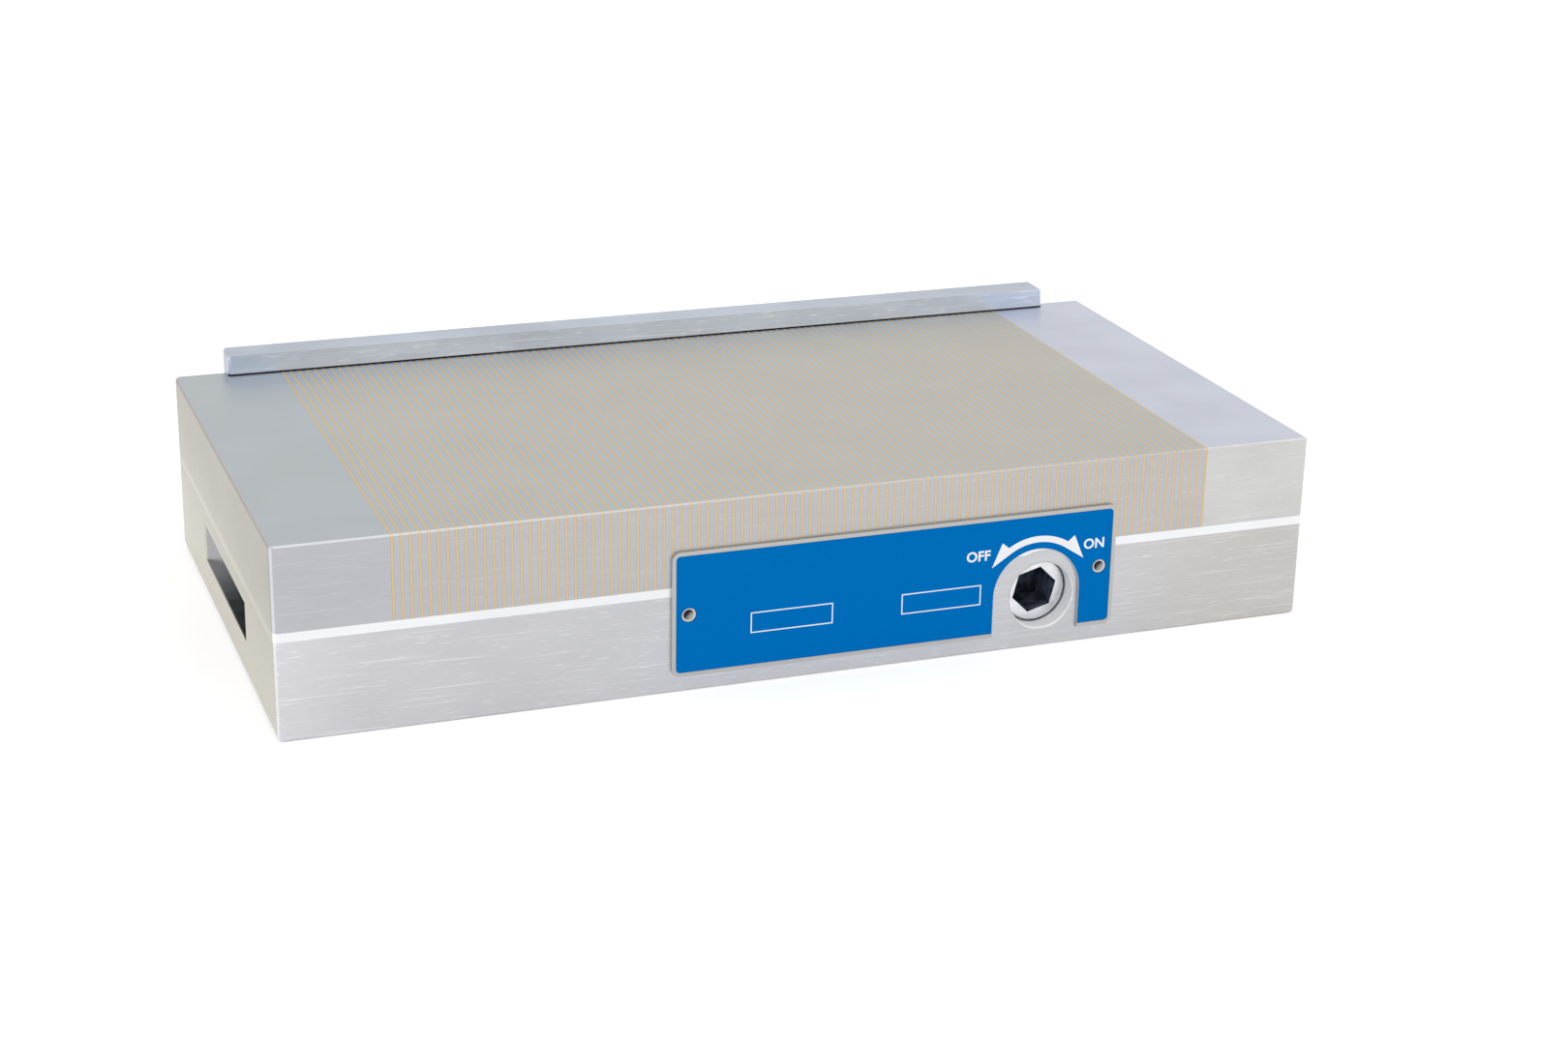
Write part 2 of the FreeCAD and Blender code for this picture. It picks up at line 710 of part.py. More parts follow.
def make_shaft():
    """Eccentric shaft: hex socket in front, ring and stop grooves round it, and an offset pin behind."""
    body = new_body("eccentric_shaft")
    place(body, x="shaft_side", y="- body_width / 2 + shaft_recess", z="shaft_level")
    half = new_sketch(body, "ShaftProfile", "XY_Plane")
    ring_back = "ring_groove + 2 * ring_section + 0.2"
    ring_floor = "shaft_radius - ring_groove_depth"
    polygon(half, [("0", "0"), ("shaft_radius - shaft_chamfer", "0"), ("shaft_radius", "shaft_chamfer"),
                   ("shaft_radius", "ring_groove"), (ring_floor, "ring_groove"), (ring_floor, ring_back),
                   ("shaft_radius", ring_back), ("shaft_radius", "shaft_length"), ("0", "shaft_length")])
    revolve(body, half)

    socket = new_sketch(body, "KeySocket", "XZ_Plane")
    hexagon(socket, "0", "0", "key_flats", "key_turn")
    pocket(body, socket, "key_depth")

    pin = new_sketch(body, "EccentricPin", "XZ_Plane", "- shaft_length")
    circle(pin, "- pin_throw", "0", "pin_radius")
    pad(body, pin, "pin_length", reverse=True)

    groove = new_sketch(body, "StopGroove", "XZ_Plane", "- stop_groove - stop_groove_width / 2")
    half_ring(groove, "shaft_radius - stop_groove_depth", "shaft_radius + 1")
    pocket(body, groove, "stop_groove_width", reverse=True)


def half_ring(sketch, inner, outer):
    """Half a ring on the sketch's right, run on at both ends to make room for the stop screw's point."""
    over = math.asin((worth("stop_point_radius") + 0.15) / worth(inner))
    start = -math.pi / 2 - over
    end = math.pi / 2 + over
    middle = FreeCAD.Vector(0, 0, 0)
    normal = FreeCAD.Vector(0, 0, 1)
    arcs = [Part.ArcOfCircle(Part.Circle(middle, normal, worth(radius)), start, end) for radius in (inner, outer)]
    sketch.addGeometry(arcs[0])
    sketch.addGeometry(Part.LineSegment(arcs[0].EndPoint, arcs[1].EndPoint))
    sketch.addGeometry(arcs[1])
    sketch.addGeometry(Part.LineSegment(arcs[1].StartPoint, arcs[0].StartPoint))
    sketch.addConstraint(Sketcher.Constraint("Coincident", 0, 2, 1, 1))
    sketch.addConstraint(Sketcher.Constraint("Coincident", 1, 2, 2, 2))
    sketch.addConstraint(Sketcher.Constraint("Coincident", 2, 1, 3, 1))
    sketch.addConstraint(Sketcher.Constraint("Coincident", 3, 2, 0, 1))
    for index, radius in ((0, inner), (2, outer)):
        pin_point(sketch, index, 3, "0", "0")
        at = sketch.addConstraint(Sketcher.Constraint("Radius", index, worth(radius)))
        sketch.setExpression(f"Constraints[{at}]", cells(radius))


def make_seal_ring():
    """Rubber ring of square section in the shaft's front groove, which keeps coolant out."""
    body = new_body("shaft_seal_ring")
    row = "- body_width / 2 + shaft_recess + ring_groove + 2 * ring_section + 0.1"
    place(body, x="shaft_side", y=row, z="shaft_level")
    ring = new_sketch(body, "SealRing", "XZ_Plane")
    circle(ring, "0", "0", "shaft_radius - 0.01")
    circle(ring, "0", "0", "shaft_radius - 2 * ring_section + 0.02")
    pad(body, ring, "2 * ring_section")


def make_bush():
    """Bronze bush pressed into the front wall from the cavity, with a hole for the stop screw's point."""
    body = new_body("shaft_bush")
    place(body, x="shaft_side", y="- body_width / 2 + front_wall", z="shaft_level")
    ring = new_sketch(body, "BushRing", "XZ_Plane")
    circle(ring, "0", "0", "bush_radius")
    circle(ring, "0", "0", "shaft_bore_radius")
    pad(body, ring, "front_wall - mouth_lip")
    relief = new_sketch(body, "BushRelief", "XY_Plane", "- bush_radius - 1")
    row = STOP_ROW + " + body_width / 2 - front_wall"
    half = "(stop_point_radius + 0.2)"
    rectangle(relief, "- " + half, half, f"{row} - {half}", f"{row} + {half}")
    pocket(body, relief, "bush_radius", reverse=True)


def make_stop_screw():
    """Dog-point screw from underneath, whose point runs in the shaft's half-turn groove."""
    body = new_body("stop_screw")
    place(body, x="shaft_side", y=STOP_ROW)
    thread = new_sketch(body, "StopThread", "XY_Plane", "stop_screw_recess")
    circle(thread, "0", "0", "stop_screw_radius - 0.02")
    pad(body, thread, "shaft_level - bush_radius - 0.15 - stop_screw_recess")
    point = new_sketch(body, "StopPoint", "XY_Plane", "stop_screw_recess")
    circle(point, "0", "0", "stop_point_radius")
    pad(body, point, "stop_point_end - stop_screw_recess")
    key = new_sketch(body, "StopKey", "XY_Plane", "stop_screw_recess")
    hexagon(key, "0", "0", "stop_screw_key")
    pocket(body, key, "1.5", reverse=True)


# ---------------------------------------------------------------- magnet carriage

CARRIAGE_MIDDLE = "(- pin_throw)"
FORK_MIDDLE = "(shaft_side - pin_throw)"
FORK_SIDE = "(fork_gap + liner_thickness)"


def make_carriage():
    """Aluminium tray for the magnets, with a fork in its front wall that the eccentric pin pushes."""
    body = new_body("carriage_frame")
    outline = new_sketch(body, "TrayOutline", "XY_Plane", "carriage_bottom")
    rectangle(outline, CARRIAGE_MIDDLE + " - carriage_length / 2", CARRIAGE_MIDDLE + " + carriage_length / 2",
              "- carriage_front", "carriage_back")
    pad(body, outline, "carriage_top - carriage_bottom")
    soften(body, "Fillet", "cavity_radius", lambda point, run: abs(run.z) > 0.99)
    tray = new_sketch(body, "Tray", "XY_Plane", "carriage_top")
    rectangle(tray, CARRIAGE_MIDDLE + " - tray_side", CARRIAGE_MIDDLE + " + tray_side",
              "- tray_front", "tray_back")
    pocket(body, tray, "carriage_top - carriage_bottom - tray_floor")
    fork = new_sketch(body, "Fork", "XY_Plane", "fork_top")
    rectangle(fork, f"{FORK_MIDDLE} - {FORK_SIDE}", f"{FORK_MIDDLE} + {FORK_SIDE}",
              "- carriage_front - 1", "- fork_back")
    pocket(body, fork, "fork_top")


def make_fork_liners():
    """Hardened steel plates on the two faces of the fork."""
    body = new_body("fork_liners")
    plates = new_sketch(body, "LinerPlates", "XY_Plane", "carriage_bottom + 0.2")
    for side in ("-", "+"):
        ends = [f"{FORK_MIDDLE} {side} fork_gap", f"{FORK_MIDDLE} {side} {FORK_SIDE}"]
        rectangle(plates, ends[0], ends[1], "- carriage_front + 0.2", "- fork_back - 0.2")
    pad(body, plates, "fork_top - carriage_bottom - 0.4")


def make_magnets():
    """Ceramic magnets and steel conductor bars, side by side across the tray."""
    half_row = "(bar_count - 1) * magnet_pitch / 2"
    bars = new_body("conductor_bars")
    bar = new_sketch(bars, "BarOutline", "YZ_Plane", f"{CARRIAGE_MIDDLE} - {half_row} - bar_thickness / 2")
    rectangle(bar, "- tray_front", "tray_back", "carriage_bottom + tray_floor", "carriage_top")
    repeat(bars, [pad(bars, bar, "bar_thickness")], "X_Axis", "(bar_count - 1) * magnet_pitch", "bar_count")

    blocks = new_body("magnets")
    start = f"{CARRIAGE_MIDDLE} - {half_row} + magnet_pitch / 2 - magnet_thickness / 2"
    block = new_sketch(blocks, "MagnetOutline", "YZ_Plane", start)
    rectangle(block, "- tray_front", "tray_back", "carriage_bottom + tray_floor", "carriage_top - 0.3")
    repeat(blocks, [pad(blocks, block, "magnet_thickness")], "X_Axis",
           "(bar_count - 2) * magnet_pitch", "bar_count - 1")


def make_side_guides():
    """Brass pads on the carriage's long sides, which run along the cavity's walls."""
    body = new_body("side_guides")
    pads = new_sketch(body, "GuidePads", "XY_Plane", "shaft_level")
    for side in ("-", "+"):
        middle = f"{CARRIAGE_MIDDLE} {side} guide_side"
        for near_edge, far_edge in (("- carriage_front - guide_thickness", "- carriage_front"),
                                    ("carriage_back", "carriage_back + guide_thickness")):
            rectangle(pads, f"{middle} - guide_length / 2", f"{middle} + guide_length / 2",
                      near_edge, far_edge)
    pad(body, pads, "guide_height")


def make_floor_strips():
    """Brass strips on the cavity's floor that carry the carriage."""
    body = new_body("floor_strips")
    strips = new_sketch(body, "StripOutlines", "XY_Plane", "cavity_floor")
    for row in ("front_strip", "rear_strip"):
        rectangle(strips, "- strip_length / 2", "strip_length / 2",
                  f"{row} - strip_width / 2", f"{row} + strip_width / 2")
    pad(body, strips, "strip_thickness")


# ---------------------------------------------------------------- nameplate

def make_nameplate():
    """Thin blank plate on the front face, with a sunk field for print, cut out round the key socket."""
    body = new_body("nameplate")
    outline = new_sketch(body, "PlateOutline", "XZ_Plane", FRONT)
    rectangle(outline, "nameplate_left", "nameplate_right", "nameplate_bottom", "nameplate_top")
    pad(body, outline, "nameplate_thickness")
    soften(body, "Fillet", "nameplate_corner", lambda point, run: abs(run.y) > 0.99)
    face = FRONT + " + nameplate_thickness"
    field = new_sketch(body, "PrintField", "XZ_Plane", face)
    rectangle(field, "nameplate_left + field_border", "nameplate_right - field_border",
              "nameplate_bottom + field_border", "nameplate_top - field_border")
    pocket(body, field, "field_depth")
    sides = [worth("nameplate_left + field_border"), worth("nameplate_right - field_border")]
    soften(body, "Fillet", "field_corner",
           lambda point, run: abs(run.y) > 0.99 and any(near(point.x, side) for side in sides))
    arch = new_sketch(body, "NotchArch", "XZ_Plane", face)
    circle(arch, "notch_side", "notch_level", "notch_radius")
    pocket(body, arch, "nameplate_thickness")
    gap = new_sketch(body, "NotchGap", "XZ_Plane", face)
    rectangle(gap, "notch_side - notch_radius", "notch_side + notch_radius", "0", "notch_level")
    pocket(body, gap, "nameplate_thickness")
    rivets = new_sketch(body, "PlateRivetHoles", "XZ_Plane", face)
    for x in ("nameplate_left + rivet_inset", "nameplate_right - rivet_inset"):
        circle(rivets, x, "rivet_level", "rivet_hole_radius")
    pocket(body, rivets, "nameplate_thickness")


def make_rivets():
    """Two drive rivets with dished heads, sunk in the nameplate's holes."""
    body = new_body("nameplate_rivets")
    place(body, x="nameplate_left + rivet_inset", y="- body_width / 2", z="rivet_level")
    half = new_sketch(body, "RivetProfile", "XY_Plane")
    head = "- nameplate_thickness + 0.1"
    polygon(half, [("0", "rivet_length"), ("0", head + " + rivet_dish"),
                   ("rivet_head_radius", head), ("rivet_head_radius", "0"),
                   ("rivet_shank_radius", "0"), ("rivet_shank_radius", "rivet_length")])
    turned = revolve(body, half)
    repeat(body, [turned], "X_Axis", "nameplate_right - nameplate_left - 2 * rivet_inset", "2")


# ---------------------------------------------------------------- build, check and write

def check_document():
    """Stops on any failed object, and on any sub-part without a valid solid."""
    for item in doc.Objects:
        if "Invalid" in item.State or "Error" in item.State:
            raise RuntimeError(f"{item.Name} failed: {item.State}")
    for part in parts:
        shape = part.Shape
        if shape.isNull() or not shape.isValid() or not shape.Solids:
            raise RuntimeError(f"{part.Label} has no valid solid")


def write_parts():
    """Writes each sub-part to its own STEP file."""
    os.makedirs("parts", exist_ok=True)
    for part in parts:
        part.Shape.exportStep(f"parts/{part.Label}.step")
        print(f"{part.Label}: {len(part.Shape.Solids)} solids, {part.Shape.Volume:.1f} mm3")


fill_sheet()
make_base()
make_seam_strip()
make_end_block("left_end_block", -1, f"{STACK_LEFT} - ({HALF_BRASS})")
make_end_block("right_end_block", 1, f"{STACK_RIGHT} + {HALF_BRASS}")
make_pole_stack()
make_plate_screws()
make_dowels()
make_back_rail()
make_rail_screws()
make_rail_washers()
make_shaft()
make_seal_ring()
make_bush()
make_stop_screw()
make_carriage()
make_fork_liners()
make_magnets()
make_side_guides()
make_floor_strips()
make_nameplate()
make_rivets()
doc.recompute()
check_document()
write_parts()
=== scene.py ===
"""Magnetic chuck: looks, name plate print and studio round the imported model.

Laid out as an add-on: the property groups hold the sizes and colours, each operator finishes one group
of pieces, and main() runs them in order.
"""
import math

import bmesh
import bpy
import numpy as np
from bpy.props import FloatProperty, FloatVectorProperty, PointerProperty
from mathutils import Matrix, Vector


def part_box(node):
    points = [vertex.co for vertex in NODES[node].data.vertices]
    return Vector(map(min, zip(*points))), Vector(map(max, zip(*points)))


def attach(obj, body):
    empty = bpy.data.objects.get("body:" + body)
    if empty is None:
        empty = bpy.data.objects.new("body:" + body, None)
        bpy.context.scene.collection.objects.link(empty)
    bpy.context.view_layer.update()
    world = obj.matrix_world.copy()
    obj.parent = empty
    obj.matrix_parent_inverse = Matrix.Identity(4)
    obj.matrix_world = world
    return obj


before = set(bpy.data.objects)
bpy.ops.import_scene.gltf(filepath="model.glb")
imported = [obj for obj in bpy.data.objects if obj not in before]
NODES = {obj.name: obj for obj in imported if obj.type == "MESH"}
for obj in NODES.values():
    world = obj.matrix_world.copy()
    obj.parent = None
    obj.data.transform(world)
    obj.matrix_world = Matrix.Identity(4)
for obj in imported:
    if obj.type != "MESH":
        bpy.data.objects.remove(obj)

bl_info = {
    "name": "Magnetic Chuck Looks",
    "version": (1, 0, 0),
    "blender": (4, 5, 0),
    "location": "View3D > Sidebar > Chuck",
    "description": "Finishes a fine-pole magnetic chuck and sets its studio",
    "category": "Object",
}

MM = 0.001


def linear(text):
    """The linear colour of an sRGB hex text such as #C0C4C8: each channel below 0.04045 is divided by
    12.92, and above it is ((channel + 0.055) / 1.055) to the power 2.4."""
    channels = [int(text[i:i + 2], 16) / 255 for i in (1, 3, 5)]
    return tuple(c / 12.92 if c <= 0.04045 else ((c + 0.055) / 1.055) ** 2.4 for c in channels)


def node_box(name):
    """Lowest and highest corner of a CAD node as two arrays, in metres."""
    low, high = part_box(name)
    return np.array(low), np.array(high)


BODY_LOW, BODY_HIGH = node_box("base_body")
TABLE_TOP = node_box("steel_laminations")[1][2]
RAIL_LOW, RAIL_HIGH = node_box("back_rail")
PLATE_LOW, PLATE_HIGH = node_box("nameplate")
SHAFT_LOW, SHAFT_HIGH = node_box("eccentric_shaft")
SHAFT_MIDDLE = (SHAFT_LOW + SHAFT_HIGH) / 2
SHAFT_RADIUS = (SHAFT_HIGH[2] - SHAFT_LOW[2]) / 2
SKIN = 0.05 * MM    # a face's own colour reaches this far in


def rivet_places():
    """Middles (x, z) of the two rivets, half a rivet's height in from the ends of their box."""
    low, high = node_box("nameplate_rivets")
    radius = (high[2] - low[2]) / 2
    return [(low[0] + radius, low[2] + radius), (high[0] - radius, low[2] + radius)]


# ---------------------------------------------------------------- settings

def colour(name, text, default):
    """A colour setting with an sRGB hex default."""
    return FloatVectorProperty(name=name, description=text, default=linear(default), subtype="COLOR",
                               size=3, min=0.0, max=1.0)


def length(name, text, default):
    """A length setting in metres, given here in millimetres."""
    return FloatProperty(name=name, description=text, default=default * MM, unit="LENGTH",
                         subtype="DISTANCE")


def place_setting(name, text, default):
    """A place setting in metres."""
    return FloatVectorProperty(name=name, description=text, default=default, size=3,
                               subtype="TRANSLATION")


class ChuckColours(bpy.types.PropertyGroup):
    """Colours of the chuck's metals and print."""
    # table: painted shade, the working surface is darker than the sides for how light falls on a top face
    table: colour("Table steel", "Ground working surface of the poles and the left end", "#AEB4B8")
    # table_right: painted light, the right end's top is lighter than the rest of the table, for light from
    # the right and behind
    table_right: colour("Right table steel", "Ground working surface of the right end", "#C2C6D2")
    plate: colour("Plate steel", "Ground sides of the pole plate", "#B4B5BA")
    plate_right: colour("Right plate steel", "Ground front of the right end", "#C3C3C2")
    base: colour("Base steel", "Ground sides of the base", "#C2C2C5")
    base_right: colour("Base steel at the right", "Ground sides of the base near its right end", "#BDBBB8")
    # side: painted light and shade, the end faces get their own colour for how the light falls on them
    side: colour("End faces", "Ground end faces", "#B7B3A8")
    # slot: painted shade in the clamp slots
    slot: colour("Slot", "Oily walls of the clamp slots", "#525A58")
    strip: colour("Seam strip", "White metal strip between base and plate", "#E6E7E9")
    # strip_side: painted light and shade on the strip where it shows on the end faces
    strip_side: colour("Strip side", "The strip on the end faces", "#C4C0B6")
    brass: colour("Brass", "Spacers between the poles", "#D0BB94")
    # rail, rail_front: painted light, the rail's front is lighter than its top and back, for how the light
    # falls on it
    rail: colour("Rail steel", "Stop rail", "#BCC1C9")
    rail_front: colour("Rail front", "Burnished sides of the stop rail", "#D9E2F0")
    print_blue: colour("Print blue", "Printed field of the name plate", "#0073C2")
    print_white: colour("Print white", "Letters and arrow of the name plate", "#FDFDFE")


class FinishSizes(bpy.types.PropertyGroup):
    """Where the finish of one piece changes."""
    right_from: length("Right from", "Where the base's colour starts to change towards the right", 60.0)
    right_to: length("Right to", "Where that change ends", 115.0)
    left_from: length("Left from", "Where the base starts to lighten towards the left end", -100.0)
    face_skin: length("Face skin", "How far in from the left end its face's colour reaches", 0.4)
    face_low: length("Face low", "Level up to which the left face is lightest", 5.0)
    face_high: length("Face high", "Level from which the left face is darkest", 40.0)
    edge_side: length("Edge side", "Width of the bright upright edge on the left face", 0.7)
    edge_front: length("Edge front", "Width of the bright upright edge on the front", 0.8)
    # the notch patch is the darker patch round the shaft
    notch_patch: length("Notch patch", "Radius of the dull patch round the shaft", 11.5)
    rail_skin: length("Rail skin", "How far in from the rail's front its colour reaches", 1.0)
    # the joint sizes place the painted shadow line on the rail's front
    joint_start: length("Joint start", "From the left end to the start of the rail's oily line", 8.0)
    joint_under: length("Joint under", "How far the oily line reaches below the table", 0.45)
    joint_over: length("Joint over", "How far the oily line reaches above the table", 0.35)
    recess_wall: length("Recess wall", "How far the recess's colour reaches beyond the shaft", 0.35)
    recess_floor: length("Recess floor", "From the shaft's face to the recess's colour", 0.1)
    recess_edge: length("Recess edge", "From the base's front to the recess's colour", 0.05)
    # the socket sizes say where the painted shade in the hex socket lies
    socket_radius: length("Socket radius", "Radius of the oily part of the shaft's front", 6.1)
    socket_lip: length("Socket lip", "From the shaft's face to the oil in the socket", 0.1)
    socket_deep: length("Socket depth", "From the shaft's face to the end of the oil", 14.3)
    slot_lip: length("Slot lip", "From the end face to the slot's own colour", 0.3)
    slot_deep: length("Slot depth", "From the end face to the end of the slot's own colour", 9.0)
    slot_low: length("Slot low", "Lowest level of the slot's colour", 9.9)
    slot_high: length("Slot high", "Highest level of the slot's colour", 19.5)
    slot_half: length("Slot half", "From the middle to either end of the slot's colour", 35.0)
    # where the painted shade in the slots fades towards the back
    slot_shade_from: length("Oil from", "Where the slot's oil starts to thin towards the back", -5.0)
    slot_shade_to: length("Oil to", "Where the slot is dry", 25.0)
    dish_inner: length("Dish inner", "Radius at which a rivet's dish starts to turn into its rim", 1.2)
    dish_outer: length("Dish outer", "Radius at which a rivet's rim starts", 1.32)
    dish_light: length("Dish light", "Offset to the lower right at which the dish is light", -1.4)
    dish_dark: length("Dish dark", "Offset to the upper left at which the dish is dark", 0.6)


class PrintSizes(bpy.types.PropertyGroup):
    """Sizes of what is printed on the name plate."""
    border: length("Border", "Bare metal round the printed field", 1.0)
    corner: length("Corner", "Radius of the printed field's corners", 1.0)
    film: length("Film", "Thickness of the printed field", 0.05)
    ink: length("Ink", "Thickness of the letters and the arrow on the field", 0.03)
    sunk: length("Sunk", "Depth of the plate's field below its border", 0.12)
    notch_in: length("Notch side", "From the plate's right edge to the notch's middle", 20.0)
    notch_up: length("Notch level", "From the plate's lower edge to the notch's middle", 10.0)
    notch_radius: length("Notch radius", "Edge of the print round the notch", 11.1)
    rivet_hole: length("Rivet hole", "Radius of the print's holes round the rivets", 1.75)
    letter: length("Letter height", "Height of the capitals", 2.5)
    word_up: length("Word level", "From the plate's lower edge to the foot of the words", 19.7)
    off_in: length("OFF place", "From the plate's right edge to the word OFF", 38.35)
    on_in: length("ON place", "From the plate's right edge to the word ON", 8.35)
    arrow_inner: length("Arrow inner", "Radius of the arrow band's inner arc", 12.7)
    arrow_outer: length("Arrow outer", "Radius of the arrow band's outer arc", 14.25)
    arrow_corner: length("Arrow corner", "Radius of the heads' outer corners", 16.34)
    arrow_tip: length("Arrow tip", "Radius of the two tips", 13.96)
    arrow_turn: FloatProperty(name="Arrow turn", description="Angle from the top to a tip, in degrees",
                              default=57.5)
    arrow_head_turn: FloatProperty(name="Head turn", description="Angle of a head, in degrees",
                                   default=22.9)
    arrow_barb_turn: FloatProperty(name="Barb turn", description="Angle that a head's back slopes over",
                                   default=2.5)
    box_width: length("Box width", "Width of a blank box", 20.0)
    box_height: length("Box height", "Height of a blank box", 5.05)
    box_line: length("Box line", "Width of a blank box's line", 0.28)
    box_up: length("Box level", "From the plate's lower edge to the boxes", 8.65)
    box_first: length("First box", "From the plate's left edge to the first box", 18.75)
    box_second: length("Second box", "From the plate's left edge to the second box", 55.7)


class StudioSettings(bpy.types.PropertyGroup):
    """Camera, lamps and floor."""
    lens: FloatProperty(name="Lens", description="Focal length", default=64.715, unit="CAMERA")
    camera_place: place_setting("Camera place", "Place of the camera", (-0.218159, -0.620792, 0.256427))
    camera_turn: FloatVectorProperty(name="Camera turn", description="Angles of the camera about X, Y, Z",
                                     size=3, default=tuple(math.radians(a) for a in
                                                           (69.8611, -1.0316, -20.1826)),
                                     subtype="EULER")
    room: FloatProperty(name="Room light", description="Strength of the even light all round",
                        default=0.75)
    key: FloatProperty(name="Key lamp", description="Power of the lamp above", default=4.0, unit="POWER")
    key_size: length("Key size", "Side of the lamp above", 1200.0)
    key_place: place_setting("Key place", "Place of the lamp above", (-0.25, -0.35, 1.1))
    fill: FloatProperty(name="Fill lamp", description="Power of the lamp at the right", default=1.5,
                        unit="POWER")
    fill_size: length("Fill size", "Side of the lamp at the right", 900.0)
    fill_place: place_setting("Fill place", "Place of the lamp at the right", (1.0, -0.5, 0.7))
    aim: place_setting("Aim", "Place that both lamps face", (0.0, 0.0, 0.02))
    floor_half: length("Floor half", "From the middle of the floor to its sides", 6000.0)
    floor_glow: FloatProperty(name="Floor glow", description="Light that the floor adds where it is seen",
                              default=0.3)


# ---------------------------------------------------------------- shader helpers

def add(tree, kind, links=None, **settings):
    """Adds one shader node. links gives for each input a value or the output that feeds it."""
    node = tree.nodes.new(kind)
    for name, value in settings.items():
        setattr(node, name, value)
    for name, value in (links or {}).items():
        if isinstance(value, bpy.types.NodeSocket):
            tree.links.new(value, node.inputs[name])
        else:
            node.inputs[name].default_value = value
    return node


def rgba(rgb):
    """A colour with full opacity."""
    return (rgb[0], rgb[1], rgb[2], 1.0)


def start_material(name):
    """A new material with a Principled shader, and its tree, shader and object coordinates."""
    material = bpy.data.materials.new(name)
    material.use_nodes = True
    tree = material.node_tree
    shader = tree.nodes["Principled BSDF"]
    place = add(tree, "ShaderNodeTexCoord").outputs["Object"]
    return material, tree, shader, place


def noise(tree, place, size, detail=2.0, turn=(0.0, 0.0, 0.0), offset=(0.0, 0.0, 0.0)):
    """Noise whose lumps are about size = (x, y, z) metres long, turned by the angles."""
    stretched = add(tree, "ShaderNodeMapping",
                    {"Vector": place, "Rotation": turn, "Location": offset,
                     "Scale": tuple(1 / s for s in size)})
    return add(tree, "ShaderNodeTexNoise",
               {"Vector": stretched.outputs["Vector"], "Scale": 1.0, "Detail": detail}).outputs["Fac"]


def ramp(tree, value, low, high, to_low=0.0, to_high=1.0):
    """value carried from low..high to to_low..to_high, with soft ends."""
    return add(tree, "ShaderNodeMapRange",
               {"Value": value, "From Min": low, "From Max": high, "To Min": to_low, "To Max": to_high},
               interpolation_type="SMOOTHSTEP").outputs["Result"]


def math_node(tree, operation, first, second):
    """first and second combined by one operation."""
    node = add(tree, "ShaderNodeMath", operation=operation)
    for socket, value in zip(node.inputs, (first, second)):
        if isinstance(value, bpy.types.NodeSocket):
            tree.links.new(value, socket)
        else:
            socket.default_value = value
    return node.outputs["Value"]


def blend(tree, factor, first, second, mode="MIX"):
    """Colour first turning into colour second as the factor rises."""
    node = add(tree, "ShaderNodeMix", data_type="RGBA", blend_type=mode)
    for socket, value in zip((node.inputs[0], node.inputs[6], node.inputs[7]), (factor, first, second)):
        if isinstance(value, bpy.types.NodeSocket):
            tree.links.new(value, socket)
        else:
            socket.default_value = value if isinstance(value, float) else rgba(value)
    return node.outputs[2]


def scaled(rgb, factor):
    """A colour made lighter or darker."""
    return tuple(min(1.0, c * factor) for c in rgb)


def coordinates(tree, place):
    """The coordinates X, Y and Z of a place as three outputs."""
    return add(tree, "ShaderNodeSeparateXYZ", {"Vector": place}).outputs


def inside(tree, value, low, high):
    """1 where a coordinate lies between two places, and 0 elsewhere."""
    node = add(tree, "ShaderNodeMath", operation="COMPARE")
    tree.links.new(value, node.inputs[0])
    node.inputs[1].default_value = (low + high) / 2
    node.inputs[2].default_value = (high - low) / 2
    return node.outputs["Value"]


def below(tree, value, level):
    """1 where a value is under a level, and 0 elsewhere."""
    return math_node(tree, "LESS_THAN", value, level)


def above(tree, value, level):
    """1 where a value is over a level, and 0 elsewhere."""
    return math_node(tree, "GREATER_THAN", value, level)


def every(tree, first, *others):
    """1 where all the masks are 1, and 0 elsewhere."""
    for mask in others:
        first = math_node(tree, "MULTIPLY", first, mask)
    return first


def opposite(tree, mask):
    """0 where the mask is 1, and 1 where it is 0."""
    return math_node(tree, "SUBTRACT", 1.0, mask)


def distance(tree, wide, high):
    """Distance from an axis that runs from front to back, from the offsets across and up."""
    square = math_node(tree, "ADD", math_node(tree, "MULTIPLY", wide, wide),
                       math_node(tree, "MULTIPLY", high, high))
    return math_node(tree, "SQRT", square, 0.0)


def from_shaft(tree, axes):
    """Distance from the axis of the key's shaft."""
    return distance(tree, math_node(tree, "SUBTRACT", axes["X"], SHAFT_MIDDLE[0]),
                    math_node(tree, "SUBTRACT", axes["Z"], SHAFT_MIDDLE[2]))


def finish():
    """The settings that say where finishes change."""
    return bpy.context.scene.chuck_finish


# ---------------------------------------------------------------- tints
# Each tint lays one more colour over the base colour in one part of a piece; most of them are painted
# light or shade.

def along_table(tree, place, base, start, end, shade):
    """The base colour turns into the shade between two places along the table."""
    return blend(tree, ramp(tree, coordinates(tree, place)["X"], start, end), base, shade)


def upper_face_shading(tree, place, base, level, shade):
    """Painted light and shade: the face at the level gets its own colour, which stands in for how the
    light falls on a top face.
    """
    return blend(tree, above(tree, coordinates(tree, place)["Z"], level - SKIN), base, shade)


def left_face_shading(tree, place, base, shade):
    """Painted light and shade: the left end's face gets its own colour, a little lighter below and darker
    above, for how the light falls on that side.
    """
    axes = coordinates(tree, place)
    face = blend(tree, ramp(tree, axes["Z"], finish().face_low, finish().face_high),
                 scaled(shade, 1.2), scaled(shade, 0.82))
    return blend(tree, below(tree, axes["X"], BODY_LOW[0] + finish().face_skin), base, face)


